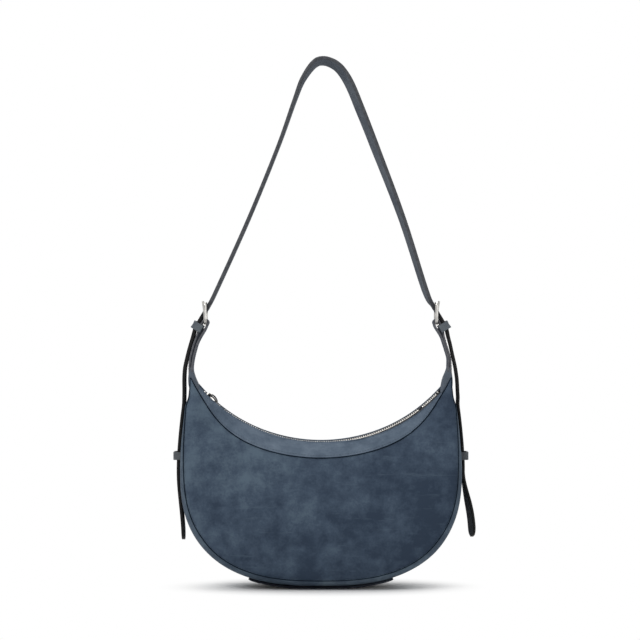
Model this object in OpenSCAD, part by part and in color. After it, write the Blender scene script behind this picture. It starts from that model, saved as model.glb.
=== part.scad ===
// Half moon shoulder bag of nubuck leather, with a zip along its curved mouth
// X runs to the right, the front faces -Y and Z points up; the origin is under the middle of the base patch

/* [Body] */
// Widest width of the bag across the gusset
body_w = 314; // [280:1:350]
// Height of the widest place above the floor
wide_z = 135; // [120:1:150]
// Height of the top of the sewn shell, where the necks begin
shell_z = 224; // [215:1:235]
// How far each side draws in between the widest place and the top of the shell
neck_in = 8.6; // [5:0.1:12]
// Depth of the gusset between its two seams
gusset_w = 84; // [70:1:100]
// Depth of the gusset at the top of the shell
gusset_top_w = 32; // [28:1:38]
// How far the gusset's middle stands out past its seams
gusset_crown = 8.5; // [6:0.1:11]
// Thickness of the body leather with its backing
leather_t = 2.2; // [1.6:0.1:2.6]
// Thickness of the lining
lining_t = 0.8; // [0.6:0.1:1]
// Radius of the piped seams
piping_r = 1.2; // [0.9:0.1:1.4]

/* [Mouth] */
// Radius of the arc that the zip follows
zip_r = 182; // [176:1:195]
// Height of the zip's lowest place
mouth_low_z = 160.5; // [155:0.5:166]
// Height of the front panel's top seam at its lowest place
seam_low_z = 145.9; // [140:0.1:150]
// Distance from the end of the top seam to the outline at the top of the shell
neck_w = 10.4; // [9:0.1:13]
// Distance between the front and back top seams at their lowest place
seam_gap_w = 64; // [56:1:72]
// Thickness of the mouth bands
band_t = 1.6; // [1.2:0.1:1.8]

/* [Zip] */
// Spacing of the teeth along one row
tooth_pitch = 2.5; // [2.4:0.05:2.8]
// Length of a tooth along the chain
tooth_t = 1; // [0.8:0.05:1.1]
// Width of the closed chain across both rows
chain_w = 6; // [5.5:0.1:6.4]
// Height of a tooth
tooth_h = 2.4; // [2:0.1:2.6]
// How far each row reaches past the middle of the chain
tooth_mesh = 0.7; // [0.5:0.05:0.9]
// Thickness of the zip tape
tape_t = 0.8; // [0.6:0.05:1]
// Distance between the leather edges beside the chain
zip_gap_w = 10; // [9.8:0.1:11]
// Length of the slider
slider_len = 13; // [10:0.5:15]
// Length of the pull loop from its pin
puller_len = 11; // [8:0.5:13]

/* [Strap] */
// Width of the strap
strap_w = 24; // [20:0.5:26]
// Thickness of the strap
strap_t = 3.9; // [3.4:0.1:4.4]
// Height of the top of the strap's arch above the heel bars
strap_h = 293.2; // [230:0.1:350]
// Thickness of a tab's leather
tab_t = 2.4; // [2:0.1:2.6]
// Height of the fold where the strap swings, above the top of the sewn shell
pivot_h = 28; // [28:0.5:32]
// Height of the tails' tips
tail_tip_z = 53; // [40:1:75]

/* [Buckle] */
// How far each heel bar lies inside the outline at the top of the shell
heel_in = 19.4; // [18.8:0.1:20.6]
// Height of the heel bars above the fold where the strap swings
heel_h = 43.8; // [42:0.1:46]
// Distance from heel bar to top bar
frame_h = 21.5; // [20:0.1:23]
// Radius of the frame's round wire
wire_r = 1.8; // [1.5:0.05:1.9]
// Radius of the prong
prong_r = 1.1; // [0.9:0.05:1.3]

/* [Loops and base] */
// Length of a keeper along the strap
keeper_len = 8; // [7:0.5:10]
// Wall of the keepers
keeper_t = 1.6; // [1.2:0.1:2]
// Height of the middle of the side loops
loop_z = 147; // [140:1:155]
// Height of a side loop
loop_h = 8.7; // [6:0.1:12]
// Thickness of the base patch under the middle
base_t = 2.5; // [2:0.1:3.5]
// Length of the base patch
base_len = 160; // [130:1:180]
// Depth of the base patch
base_w = 44; // [36:1:50]

/* [Hidden] */

// Clearances: between sewn edges, between lapped leather, and round the metal parts
sewn_gap = 0.15;
lap_gap = 0.25;
bar_gap = 0.15;
overrun = 1;

// Outline of the body in the X Z plane; t runs from the left neck, -1, by the bottom, 0, to the right neck, 1
half_w = body_w / 2;
pivot_z = shell_z + pivot_h;
heel_z = pivot_z + heel_h;
strap_top_z = heel_z + strap_h;
seam_half_w = half_w - neck_in - neck_w;
heel_x = half_w - neck_in - heel_in;
low_share = 0.62;
outline_power = 2.6;
side_power = 1.5;
taper_power = 1.25;
crown_power = 4;
seam_power_share = 0.56;
seam_power = 6;
seam_spread_power = 0.8;
belly_share = 0.1;
skive_share = 0.35;
top_crown_share = 0.7;
t_step = 0.002;
side_u = function(t) max(0, (abs(t) - low_share) / (1 - low_share));
outline = function(t) let (s = sign(t), u = abs(t), q = side_u(t), f = 90 * u / low_share)
    u < low_share
    ? [s * half_w * pow(sin(f), 2 / outline_power),
        wide_z - (wide_z - base_t) * pow(cos(f), 2 / outline_power)]
    : [s * (half_w - neck_in * pow(q, side_power)), wide_z + q * (shell_z - wide_z)];
unit = function(v) v / norm(v);
outline_dir = function(t) unit(outline(t + t_step) - outline(t - t_step));
inset = function(t, d) let (p = outline(t), v = outline_dir(t)) [p.x - d * v.y, p.y + d * v.x];
gusset_half = function(t) gusset_w / 2 - (gusset_w - gusset_top_w) / 2 * pow(side_u(t), taper_power);
crown = function(t) gusset_crown * (1 - top_crown_share * pow(side_u(t), 2));
outline_x = function(z) half_w - neck_in * pow(max(0, (z - wide_z) / (shell_z - wide_z)), side_power);

// Top seams: a curve in a plane that leans towards the mouth
seam_z = function(x) let (r = abs(x) / seam_half_w, rise = shell_z - seam_low_z)
    seam_low_z + rise * (seam_power_share * r * r + (1 - seam_power_share) * pow(r, seam_power));
seam_lean = (seam_gap_w - gusset_top_w) / 2 / (shell_z - seam_low_z);
seam_point = function(x) let (z = seam_z(x)) [x, -seam_gap_w / 2 + seam_lean * (z - seam_low_z), z];

// Zip: the chain follows an arc about a line along Y, rolled so that its face turns a little to the front.
// Each place along it is given by its distance in X from the end of the top seam
zip_z = mouth_low_z + zip_r;
chain_roll = 20;
lip_in = 11.6;
row_in = 28;
end_row_in = 24.5;
end_stop_in = 8.4;
stop_in = 6.4;
slider_in = 13.4;
tape_end_in = 26.2;
end_tape_in = 25.4;
end_tape_top_in = 4.9;
chain_angle = function(d) asin((seam_half_w - d) / zip_r);
row_angle = chain_angle(row_in);
slider_angle = chain_angle(slider_in);
tape_w = 6.3;
end_tape_w = 3.2;
tape_in = 1.5;
turn_w = 4;
edge_rise = 2.2;
split_d = 6;
split_gap = 0.2;
chain_point = function(a, y, h, roll)
    let (yy = y * cos(roll) - h * sin(roll), hh = y * sin(roll) + h * cos(roll))
    [(zip_r - hh) * sin(a), yy, zip_z - (zip_r - hh) * cos(a)];

// Straight run of the strap through the buckle: s runs down along it and d stands off it, outwards
strap_lean = 31;
run_dir = [sin(strap_lean), -cos(strap_lean)];
run_out = [cos(strap_lean), sin(strap_lean)];
wrap_r = wire_r + bar_gap + tab_t / 2;
strap_off = wrap_r + tab_t / 2 + 2 * lap_gap + strap_t / 2 - bar_gap;
heel = [heel_x, heel_z];
run = function(s, d) heel + (strap_off + d) * run_out + s * run_dir;
run_top = -18;
run_low = 13;
keeper_s = 8.5;

// Stack of leathers at the neck, from the outside in
tongue_t = 1.2;
tab_inset = 2;
tab_out_x = outline_x(shell_z) - tab_inset;
tab_leg_x = tab_out_x - tab_t / 2;
tongue_x = tab_out_x - tab_t - lap_gap - tongue_t / 2;
inner_leg_x = tongue_x - tongue_t / 2 - lap_gap - tab_t / 2;
lap_r = strap_w / 2;
lap_rise = 0.5;
tail_x = tab_out_x + lap_rise + lap_gap + strap_t / 2;
neck_top_z = pivot_z - lap_r - lap_rise;
neck_bottom_in = 1;
neck_bottom_w = seam_half_w - neck_bottom_in;
end_tangent = 14;
leg_tangent = 8;

// Makes a closed sheet from a grid of points, with a thickness at each column of the grid
grid_normal = function(g, i, j) let (n = len(g) - 1, m = len(g[0]) - 1,
    a = g[min(i + 1, n)][j] - g[max(i - 1, 0)][j], b = g[i][min(j + 1, m)] - g[i][max(j - 1, 0)])
    unit(cross(a, b));
offset_grid = function(g, d) [for (i = [0:len(g) - 1]) [for (j = [0:len(g[0]) - 1])
    g[i][j] - (is_list(d) ? d[j] : d) * grid_normal(g, i, j)]];
level_push = function(g, i, j) let (n = grid_normal(g, i, j)) [0, n.y, n.z] / (n.y * n.y + n.z * n.z);
row_dir = function(g, i, j) unit(g[i][min(j + 1, len(g[0]) - 1)] - g[i][max(j - 1, 0)]);
level_grid = function(g, d, scarfs) [for (i = [0:len(g) - 1]) [for (j = [0:len(g[0]) - 1])
    g[i][j] - d[j] * level_push(g, i, j) + scarfs[j] * scarf_at(g[i][j].x) * d[j] * row_dir(g, i, j)]];
scarf_at = function(x) max(0, 1 - scarf_fade_share * pow(abs(x) / lip_half, scarf_power));
flip_rows = function(g) [for (i = [len(g) - 1:-1:0]) g[i]];
function join(lists) = [for (l = lists) for (e = l) e];
function sheet_faces(n, m) = let (b = (n + 1) * (m + 1), k = m + 1) concat(
    join([for (i = [0:n - 1]) for (j = [0:m - 1]) let (p = i * k + j)
        [[p, p + 1, p + k + 1], [p, p + k + 1, p + k],
            [b + p, b + p + k + 1, b + p + 1], [b + p, b + p + k, b + p + k + 1]]]),
    join([for (i = [0:n - 1]) let (p = i * k, q = i * k + m)
        [[p, p + k, b + p + k], [p, b + p + k, b + p], [q + k, q, b + q], [q + k, b + q, b + q + k]]]),
    join([for (j = [0:m - 1]) let (p = j, q = n * k + j)
        [[p + 1, p, b + p], [p + 1, b + p, b + p + 1], [q, q + 1, b + q + 1], [q, b + q + 1, b + q]]]));

module skin(outer, inner) {
    polyhedron(points = concat(join(outer), join(inner)),
        faces = sheet_faces(len(outer) - 1, len(outer[0]) - 1));
}

module sheet(outer, thick) {
    skin(outer, offset_grid(outer, thick));
}

// Makes a closed bar from a list of rings, each with its points in the same order
function bar_faces(n, k) = concat(
    join([for (i = [0:n - 1]) for (j = [0:k - 1]) let (p = i * k + j, q = i * k + (j + 1) % k)
        [[p, p + k, q + k], [p, q + k, q]]]),
    [for (j = [1:k - 2]) [0, j, j + 1]],
    [for (j = [1:k - 2]) let (e = n * k) [e, e + j + 1, e + j]]);

module bar(rings) {
    polyhedron(points = join(rings), faces = bar_faces(len(rings) - 1, len(rings[0])));
}

path_dir = function(p, i) unit(p[min(i + 1, len(p) - 1)] - p[max(i - 1, 0)]);
tube_rings = function(p, r, k) [for (i = [0:len(p) - 1])
    let (d = path_dir(p, i), u = unit(cross([0, 1, 0], d)), v = cross(d, u))
    [for (j = [0:k - 1]) p[i] + r * (cos(360 * j / k) * u + sin(360 * j / k) * v)]];

// Curves: a cubic between two points with their directions, and a smooth line through points
bezier = function(p, q, r, s, n) [for (i = [0:n]) let (f = i / n, g = 1 - f)
    g * g * g * p + 3 * g * g * f * q + 3 * g * f * f * r + f * f * f * s];
smooth = function(p, k) concat(join([for (i = [0:len(p) - 2])
    let (a = p[max(i - 1, 0)], b = p[i], c = p[i + 1], d = p[min(i + 2, len(p) - 1)])
    [for (j = [0:k - 1]) let (f = j / k)
        b + ((c - a) * f + (2 * a - 5 * b + 4 * c - d) * f * f + (3 * b - a - 3 * c + d) * f * f * f) / 2]]),
    [p[len(p) - 1]]);
side_of = function(p, i, d) let (v = path_dir(p, i)) [p[i].x - d * v.y, p[i].y + d * v.x];
outer_side = function(p, t) [for (i = [0:len(p) - 1]) side_of(p, i, t / 2)];
inner_side = function(p, t) [for (i = [len(p) - 1:-1:0]) side_of(p, i, -t / 2)];
ribbon_outline = function(p, t) concat(outer_side(p, t), inner_side(p, t));

// Flat shapes: in the X Z plane with their depth along Y, and in the Y Z plane with their depth along X
module stand_xz(w) {
    rotate([90, 0, 0]) linear_extrude(w, center = true) children();
}

module stand_yz(x0, x1) {
    translate([x0, 0, 0]) rotate([90, 0, 90]) linear_extrude(x1 - x0) children();
}

// Panels, gusset and piping
panel_steps = 40;
panel_rows = 6;
gusset_steps = 48;
gusset_shares = [-1, -0.84, -0.62, -0.32, 0, 0.32, 0.62, 0.84, 1];
piping_sides = 6;
edge = piping_r + sewn_gap;

panel_grid = function(n, m, v0, v1) [for (i = [0:n]) let (t = 2 * i / n - 1,
    g2 = inset(t, crown(t) + edge), g = [g2.x, -gusset_half(t), g2.y],
    s = seam_point(sign(t) * seam_half_w * pow(abs(t), seam_spread_power)),
    h = norm(s - g), top = s + edge / h * (g - s))
    [for (j = [0:m]) let (v = v0 + (v1 - v0) * j / m)
        g + v * (top - g) - [0, 4 * belly_share * h * v * (1 - v), 0]]];
skived = function(m, t) [for (j = [0:m]) (j == 0 || j == m) ? skive_share * t : t];

module panel() {
    sheet(panel_grid(panel_steps, panel_rows, 0, 1), skived(panel_rows, leather_t));
}

module front_panel() {
    color([0.27, 0.32, 0.39]) panel();
}

module back_panel() {
    color([0.27, 0.32, 0.39]) mirror([0, 1, 0]) panel();
}

gusset_grid = function(n, shares, reach, depth) [for (i = [0:n]) let (t = 2 * i / n - 1)
    [for (s = shares) let (p = inset(t, crown(t) * pow(abs(s * reach), crown_power) + depth))
        [p.x, (gusset_half(t) - edge) * s * reach, p.y]]];

module gusset() {
    rows = flip_rows(gusset_grid(gusset_steps, gusset_shares, 1, 0));
    color([0.30, 0.35, 0.42]) sheet(rows, skived(len(gusset_shares) - 1, leather_t));
}

gusset_seam = [for (i = [0:gusset_steps]) let (t = 2 * i / gusset_steps - 1, p = inset(t, crown(t)))
    [p.x, -gusset_half(t), p.y]];

module piping() {
    color([0.05, 0.09, 0.16]) bar(tube_rings(gusset_seam, piping_r, piping_sides));
}

module front_piping() {
    piping();
}

module back_piping() {
    mirror([0, 1, 0]) piping();
}

seam_steps = 36;
seam_end_share = 0.995;
top_seam = [for (i = [0:seam_steps]) seam_point(seam_half_w * seam_end_share * (2 * i / seam_steps - 1))];

module seam_piping() {
    color([0.05, 0.09, 0.16]) bar(tube_rings(top_seam, piping_r, piping_sides));
}

module front_seam() {
    seam_piping();
}

module back_seam() {
    mirror([0, 1, 0]) seam_piping();
}

// Mouth bands: the strip sewn to the top seam stays, and the lip above it turns out when the mouth opens
lip_half = seam_half_w - lip_in;
corner_in = 1.4;
corner_x = seam_half_w - corner_in;
scarf_fade_share = 0.9;
scarf_power = 3;
row_point = function(x, y, roll) let (p = chain_point(0, y, edge_rise, roll), r = zip_z - p.z)
    [x, p.y, zip_z - sqrt(r * r - x * x)];
fold_point = function(x, roll) row_point(x, -zip_gap_w / 2 - turn_w, roll);
rise_from_seam = function(p) (p.y + seam_gap_w / 2 - seam_lean * (p.z - seam_low_z)) / norm([1, seam_lean]);
band_point = function(x, d, roll) let (a = seam_point(x), b = fold_point(x, roll))
    a + d / rise_from_seam(b) * (b - a);
lip_row = function(x, roll) let (b = fold_point(x, roll), d0 = split_d + split_gap, d1 = rise_from_seam(b))
    [band_point(x, d0, roll), band_point(x, (d0 + d1) / 2, roll), b, row_point(x, -zip_gap_w / 2, roll)];
seam_dir = function(x) unit(seam_point(x + overrun) - seam_point(x - overrun));
strip_row = function(x, roll) let (a = seam_point(x), b = band_point(x, split_d, roll), v = unit(b - a),
    k = v * seam_dir(x), c = a + edge / sqrt(1 - k * k) * v)
    [c, (b + c) / 2, b];
corner_row = function(x, roll) let (a = strip_row(x, roll), b = lip_row(x, roll))
    [a[0], a[1], b[1], b[2], b[3]];
lip_steps = 36;
corner_steps = 3;
lip_stations = [for (i = [0:lip_steps]) lip_half * (2 * i / lip_steps - 1)];
corner_stations = [for (i = [0:corner_steps]) let (x = lip_half + split_gap)
    x + (corner_x - x) * i / corner_steps];
left_stations = [for (i = [corner_steps:-1:0]) -corner_stations[i]];

module corner(stations, roll) {
    rows = [for (x = stations) corner_row(x, roll)];
    skin(rows, level_grid(rows, band_t * [skive_share, 1, 1, 1, 1], [0, 0, 0, 0, 0]));
}

module band(roll) {
    rows = [for (x = lip_stations) strip_row(x, roll)];
    color([0.33, 0.37, 0.43]) {
        skin(rows, level_grid(rows, band_t * [skive_share, 1, 1], [0, 0, 1]));
        corner(corner_stations, roll);
        corner(left_stations, roll);
    }
}

module lip(roll) {
    rows = [for (x = lip_stations) lip_row(x, roll)];
    color([0.33, 0.37, 0.43]) skin(rows, level_grid(rows, band_t * [1, 1, 1, 1], [1, 0, 0, 0]));
}

module front_band() {
    band(chain_roll);
}

module back_band() {
    mirror([0, 1, 0]) band(-chain_roll);
}

module front_lip() {
    lip(chain_roll);
}

module back_lip() {
    mirror([0, 1, 0]) lip(-chain_roll);
}

// Zip tape: a slice of a ring about the arc's centre line, from one angle to another
module tape(a0, a1, w, roll) {
    y0 = -tape_in - w;
    y1 = -tape_in - sewn_gap;
    section = [for (c = [[y0, -tape_t / 2], [y1, -tape_t / 2], [y1, tape_t / 2], [y0, tape_t / 2]])
        let (p = chain_point(0, c.x, c.y, roll)) [zip_z - p.z, p.y]];
    color([0.06, 0.07, 0.09]) translate([0, 0, zip_z]) rotate([90, 0, 0]) rotate([0, 0, a0 - 90])
        rotate_extrude(angle = a1 - a0, $fn = 180) polygon([for (p = section) [p.x, -p.y]]);
}

module front_tape() {
    tape(-chain_angle(tape_end_in), chain_angle(tape_end_in), tape_w, chain_roll);
}

module back_tape() {
    mirror([0, 1, 0]) tape(-chain_angle(tape_end_in), chain_angle(tape_end_in), tape_w, -chain_roll);
}

// One tooth: two legs clamp the tape's edge and the head meshes with the other row
module at_chain(a, roll) {
    translate([0, 0, zip_z]) rotate([0, -a, 0]) translate([0, 0, -zip_r]) rotate([roll, 0, 0]) children();
}

tooth_neck_share = 0.1;
tooth_tip_share = 0.5;
half_pitch_share = 0.5;
clamp_gap = 0.04;
tooth_slot = tape_t / 2 + clamp_gap;
step_angle = tooth_pitch / zip_r * 180 / PI;

module tooth() {
    leg = -chain_w / 2;
    neck = leg * tooth_neck_share;
    h = tooth_h / 2;
    rotate([90, 0, 90]) linear_extrude(tooth_t, center = true)
        polygon([[leg, h], [leg, tooth_slot], [-tape_in, tooth_slot], [-tape_in, -tooth_slot],
            [leg, -tooth_slot], [leg, -h], [neck, -h], [tooth_mesh, -h * tooth_tip_share],
            [tooth_mesh, h * tooth_tip_share], [neck, h]]);
}

module teeth(a0, a1, shift, roll) {
    first = ceil(a0 / step_angle - shift);
    last = floor(a1 / step_angle - shift);
    color([0.80, 0.81, 0.82]) for (k = [first:last]) at_chain((k + shift) * step_angle, roll) tooth();
}

module front_teeth() {
    teeth(-row_angle, row_angle, 0, chain_roll);
}

module back_teeth() {
    mirror([0, 1, 0]) teeth(-row_angle, row_angle, half_pitch_share, -chain_roll);
}

// Short fixed ends of the zip, where the slider parks, with a metal stop across both tapes
module zip_end() {
    low = chain_angle(end_row_in);
    high = chain_angle(end_stop_in);
    tape(chain_angle(end_tape_in), chain_angle(end_tape_top_in), end_tape_w, chain_roll);
    mirror([0, 1, 0]) tape(chain_angle(end_tape_in), chain_angle(end_tape_top_in), end_tape_w, -chain_roll);
    teeth(low, high, 0, chain_roll);
    mirror([0, 1, 0]) teeth(low, high, half_pitch_share, -chain_roll);
    color([0.80, 0.81, 0.82]) at_chain(chain_angle(stop_in), chain_roll)
        for (s = [-1, 1]) translate([0, 0, s * (tooth_slot + tooth_h / 4)])
            cube([tooth_pitch / 2, chain_w, tooth_h / 2], center = true);
}

module zip_end_left() {
    mirror([1, 0, 0]) zip_end();
}

module zip_end_right() {
    zip_end();
}

// Slider: a top and a bottom plate whose turned edges hold the rows, and a bridge for the pull loop
slider_plate_t = 1.2;
slider_gap = 0.35;
slider_nose_w = 9;
slider_tail_w = 7.9;
slider_lip_t = 0.9;
slider_lip_h = 0.75;
bridge_x = -3;
bridge_len = 4.4;
bridge_w = 2.6;
bridge_r = 0.85;
pin_r = 0.7;
slider_top = tooth_h / 2 + slider_gap + slider_plate_t;
pin_h = slider_top + pin_r + bridge_r;

module slider_half() {
    x = slider_len / 2;
    difference() {
        translate([0, 0, slider_lip_h]) linear_extrude(slider_top - slider_lip_h)
            polygon([[-x, -slider_nose_w / 2 + slider_lip_t], [-x + slider_lip_t, -slider_nose_w / 2],
                [x, -slider_tail_w / 2], [x, slider_tail_w / 2], [-x + slider_lip_t, slider_nose_w / 2],
                [-x, slider_nose_w / 2 - slider_lip_t]]);
        translate([-x - overrun, -chain_w / 2 - slider_gap, 0])
            cube([slider_len + 2 * overrun, chain_w + 2 * slider_gap, slider_top - slider_plate_t]);
    }
}

module zip_slider() {
    color([0.82, 0.83, 0.84]) at_chain(-slider_angle, chain_roll) {
        slider_half();
        mirror([0, 0, 1]) slider_half();
        difference() {
            translate([bridge_x, 0, 0]) stand_xz(bridge_w) union() {
                translate([-bridge_len / 2, slider_top - slider_plate_t / 2])
                    square([bridge_len, pin_h - slider_top + slider_plate_t / 2]);
                translate([0, pin_h]) circle(r = bridge_len / 2, $fn = 48);
            }
            translate([bridge_x, 0, pin_h]) rotate([90, 0, 0])
                cylinder(r = pin_r + bar_gap / 2, h = bridge_w + 2 * overrun, center = true, $fn = 48);
        }
    }
}

// Pull loop: an arched wire on its pin
puller_w = 6.4;
puller_rise = 1.8;
puller_wire_r = 0.8;
knuckle_r = 0.84;
cross_wire_r = 0.76;
eye_r = 1.4;

module puller_arm() {
    drop = pin_h - slider_top - slider_gap;
    chord = norm([puller_len, drop]);
    arc_r = (chord * chord / 4 + puller_rise * puller_rise) / (2 * puller_rise);
    half = asin(chord / 2 / arc_r);
    rotate([0, atan(drop / puller_len), 0]) translate([chord / 2, 0, puller_rise - arc_r]) rotate([90, 0, 0])
        rotate([0, 0, 90 - half]) rotate_extrude(angle = 2 * half, $fn = 96)
            translate([arc_r, 0]) circle(r = puller_wire_r, $fn = 24);
}

module zip_puller() {
    drop = pin_h - slider_top - slider_gap;
    y = puller_w / 2 - puller_wire_r;
    color([0.13, 0.13, 0.14]) at_chain(-slider_angle, chain_roll) translate([bridge_x, 0, pin_h]) {
        for (s = [-1, 1]) {
            translate([0, s * y, 0]) puller_arm();
            translate([0, s * y, 0]) rotate([90, 0, 0])
                cylinder(r = eye_r, h = 2 * puller_wire_r, center = true, $fn = 32);
            translate([puller_len, s * y, -drop]) sphere(r = knuckle_r, $fn = 24);
        }
        translate([puller_len, 0, -drop]) rotate([90, 0, 0])
            cylinder(r = cross_wire_r, h = 2 * y, center = true, $fn = 24);
        rotate([90, 0, 0]) cylinder(r = pin_r, h = puller_w - puller_wire_r, center = true, $fn = 32);
    }
}

// Lining inside the panels and along the gusset, and the board in the bottom
lining_steps = 24;
lining_rows = 4;
lining_gap = 1;
lining_off = leather_t + lining_gap;
lining_shares = [-1, -0.75, -0.5, -0.25, 0, 0.25, 0.5, 0.75, 1];
lining_reach_share = 0.88;
lining_low_share = 0.05;
lining_high_share = 0.95;
board_len_share = 0.8;
board_gap = 1.5;

module lining_half() {
    cloth = panel_grid(lining_steps, lining_rows, lining_low_share, lining_high_share);
    sheet(offset_grid(cloth, lining_off), lining_t);
}

module lining() {
    color([0.16, 0.17, 0.20]) {
        lining_half();
        mirror([0, 1, 0]) lining_half();
        sheet(flip_rows(gusset_grid(lining_steps, lining_shares, lining_reach_share, lining_off)), lining_t);
    }
}

floor_steps = 20;
floor_points = function(half, d) [for (i = [-floor_steps:floor_steps]) let (x = half * i / floor_steps)
    [x, wide_z - (wide_z - base_t) * pow(1 - pow(abs(x) / half_w, outline_power), 1 / outline_power) + d]];

module base_board() {
    d = lining_off + lining_t + crown(0) * pow(base_w / (gusset_w - 2 * edge), crown_power) + board_gap;
    half = base_len * board_len_share / 2;
    low = floor_points(half, d);
    high = floor_points(half, d + leather_t);
    color([0.35, 0.33, 0.30]) stand_xz(base_w)
        polygon(concat(low, [for (i = [len(high) - 1:-1:0]) high[i]]));
}

patch_flat_share = 0.72;
patch_end_share = 0.3;

module base_patch() {
    half = base_len / 2;
    top = floor_points(half, -sewn_gap);
    end_z = top[0].y * patch_end_share;
    color([0.11, 0.12, 0.15]) stand_xz(base_w)
        polygon(concat([[-half, end_z], [-half * patch_flat_share, 0], [half * patch_flat_share, 0],
            [half, end_z]], [for (i = [len(top) - 1:-1:0]) top[i]]));
}

// Necks: the sewn block at each end of the mouth, with the tongue that the tab's two legs hold between them
module lap_silhouette(z) {
    stand_yz(0, body_w) union() {
        translate([-lap_r, min(z, pivot_z)]) square([2 * lap_r, abs(pivot_z - z)]);
        translate([0, pivot_z]) circle(r = lap_r, $fn = 96);
    }
}

module neck() {
    z0 = shell_z + sewn_gap;
    out = outline_x(shell_z);
    color([0.25, 0.29, 0.36]) {
        intersection() {
            stand_xz(gusset_top_w)
                polygon([[neck_bottom_w, z0], [out, z0], [tab_out_x, neck_top_z],
                    [inner_leg_x - tab_t / 2, neck_top_z]]);
            stand_yz(0, body_w)
                polygon([[-gusset_top_w / 2, z0], [gusset_top_w / 2, z0],
                    [lap_r, neck_top_z], [-lap_r, neck_top_z]]);
        }
        intersection() {
            translate([tongue_x - tongue_t / 2, -lap_r, neck_top_z - overrun])
                cube([tongue_t, 2 * lap_r, body_w]);
            lap_silhouette(shell_z);
        }
    }
}

module neck_left() {
    mirror([1, 0, 0]) neck();
}

module neck_right() {
    neck();
}

// Tabs: one strip folded over the heel bar, both ends down to the neck
leg_top_z = pivot_z + lap_r + lap_rise;
wrap_end = 215;
wrap_steps = 12;
prong_eye_w = 3;
eye_slot_w = prong_eye_w + 2 * lap_gap;
eye_slot_h = 9;
outer_leg_top = heel + wrap_r * run_out + run_low * run_dir;
outer_leg_foot = [tab_leg_x, leg_top_z];
inner_leg_shares = [[0, 0], [0.28, 0.24], [0.57, 0.44], [0.79, 0.62], [0.94, 0.82], [1, 1]];
inner_leg_top = heel + wrap_r * [cos(wrap_end), sin(wrap_end)];
inner_leg_foot = [inner_leg_x, leg_top_z];
inner_leg = [for (c = inner_leg_shares) let (way = inner_leg_foot - inner_leg_top)
    inner_leg_top + [c[0] * way.x, c[1] * way.y]];

tab_path = concat([[tab_leg_x, pivot_z - lap_r]],
    bezier(outer_leg_foot, outer_leg_foot + [0, leg_tangent], outer_leg_top + leg_tangent * run_dir,
        outer_leg_top, 8),
    [for (i = [0:wrap_steps - 1]) let (a = strap_lean + (wrap_end - strap_lean) * i / wrap_steps)
        heel + wrap_r * [cos(a), sin(a)]],
    smooth(inner_leg, 3),
    [[inner_leg_x, pivot_z - lap_r]]);

module tab() {
    color([0.26, 0.29, 0.34]) difference() {
        intersection() {
            stand_xz(strap_w) polygon(ribbon_outline(tab_path, tab_t));
            lap_silhouette(heel_z + frame_h);
        }
        translate([heel_x, 0, heel_z]) rotate([90, 0, 0])
            cylinder(r = wire_r + bar_gap, h = strap_w + 2 * overrun, center = true, $fn = 64);
        translate([heel_x - wrap_r - tab_t, -eye_slot_w / 2, heel_z - eye_slot_h / 2])
            cube([2 * (wrap_r + tab_t), eye_slot_w, 2 * eye_slot_h]);
    }
}

module tab_left() {
    mirror([1, 0, 0]) tab();
}

module tab_right() {
    tab();
}

// Keepers: a leather ring round the strap and the tab's outer leg
module keeper() {
    centre = run(keeper_s, 0);
    low = -strap_t / 2 - lap_gap;
    high = strap_off - wrap_r + tab_t / 2 + lap_gap;
    color([0.26, 0.31, 0.38]) translate([centre.x, 0, centre.y]) rotate([0, 180 - strap_lean, 0])
        linear_extrude(keeper_len, center = true) difference() {
            translate([low - keeper_t, -strap_w / 2 - lap_gap - keeper_t])
                square([high - low + 2 * keeper_t, strap_w + 2 * (lap_gap + keeper_t)]);
            translate([low, -strap_w / 2 - lap_gap]) square([high - low, strap_w + 2 * lap_gap]);
        }
}

module keeper_left() {
    mirror([1, 0, 0]) keeper();
}

module keeper_right() {
    keeper();
}

// Buckle frame: a ring of round wire with curved corners, standing in the Y Z plane
corner_r = 3;
frame_slack = 2;
frame_w = strap_w + 2 * wire_r + frame_slack;

module frame_corner(y, z, turn) {
    translate([0, y, z]) rotate([90, 0, 90]) rotate([0, 0, turn])
        rotate_extrude(angle = 90, $fn = 64) translate([corner_r, 0]) circle(r = wire_r, $fn = 32);
}

module frame() {
    y = frame_w / 2;
    rail_h = frame_h - 2 * corner_r;
    color([0.80, 0.80, 0.80]) translate([heel_x, 0, heel_z]) {
        for (z = [0, frame_h]) translate([0, 0, z]) rotate([90, 0, 0])
            cylinder(r = wire_r, h = frame_w - 2 * corner_r, center = true, $fn = 32);
        for (s = [-1, 1]) translate([0, s * y, corner_r]) cylinder(r = wire_r, h = rail_h, $fn = 32);
        frame_corner(y - corner_r, frame_h - corner_r, 0);
        frame_corner(-y + corner_r, frame_h - corner_r, 90);
        frame_corner(-y + corner_r, corner_r, 180);
        frame_corner(y - corner_r, corner_r, 270);
    }
}

module frame_left() {
    mirror([1, 0, 0]) frame();
}

module frame_right() {
    frame();
}

// Prong: an eye round the heel bar and an arm that rests on the outer side of the top bar
eye_wall = 1.1;
prong_over = 2.2;
prong_lean = asin((wire_r + prong_r + bar_gap / 2) / frame_h);

module prong() {
    color([0.80, 0.80, 0.80]) translate([heel_x, 0, heel_z]) difference() {
        union() {
            rotate([90, 0, 0])
                cylinder(r = wire_r + bar_gap + eye_wall, h = prong_eye_w, center = true, $fn = 48);
            rotate([0, prong_lean, 0]) {
                cylinder(r = prong_r, h = frame_h + prong_over, $fn = 32);
                translate([0, 0, frame_h + prong_over]) sphere(r = prong_r, $fn = 32);
            }
        }
        rotate([90, 0, 0])
            cylinder(r = wire_r + bar_gap / 2, h = prong_eye_w + 2 * overrun, center = true, $fn = 48);
    }
}

module prong_left() {
    mirror([1, 0, 0]) prong();
}

module prong_right() {
    prong();
}

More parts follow.
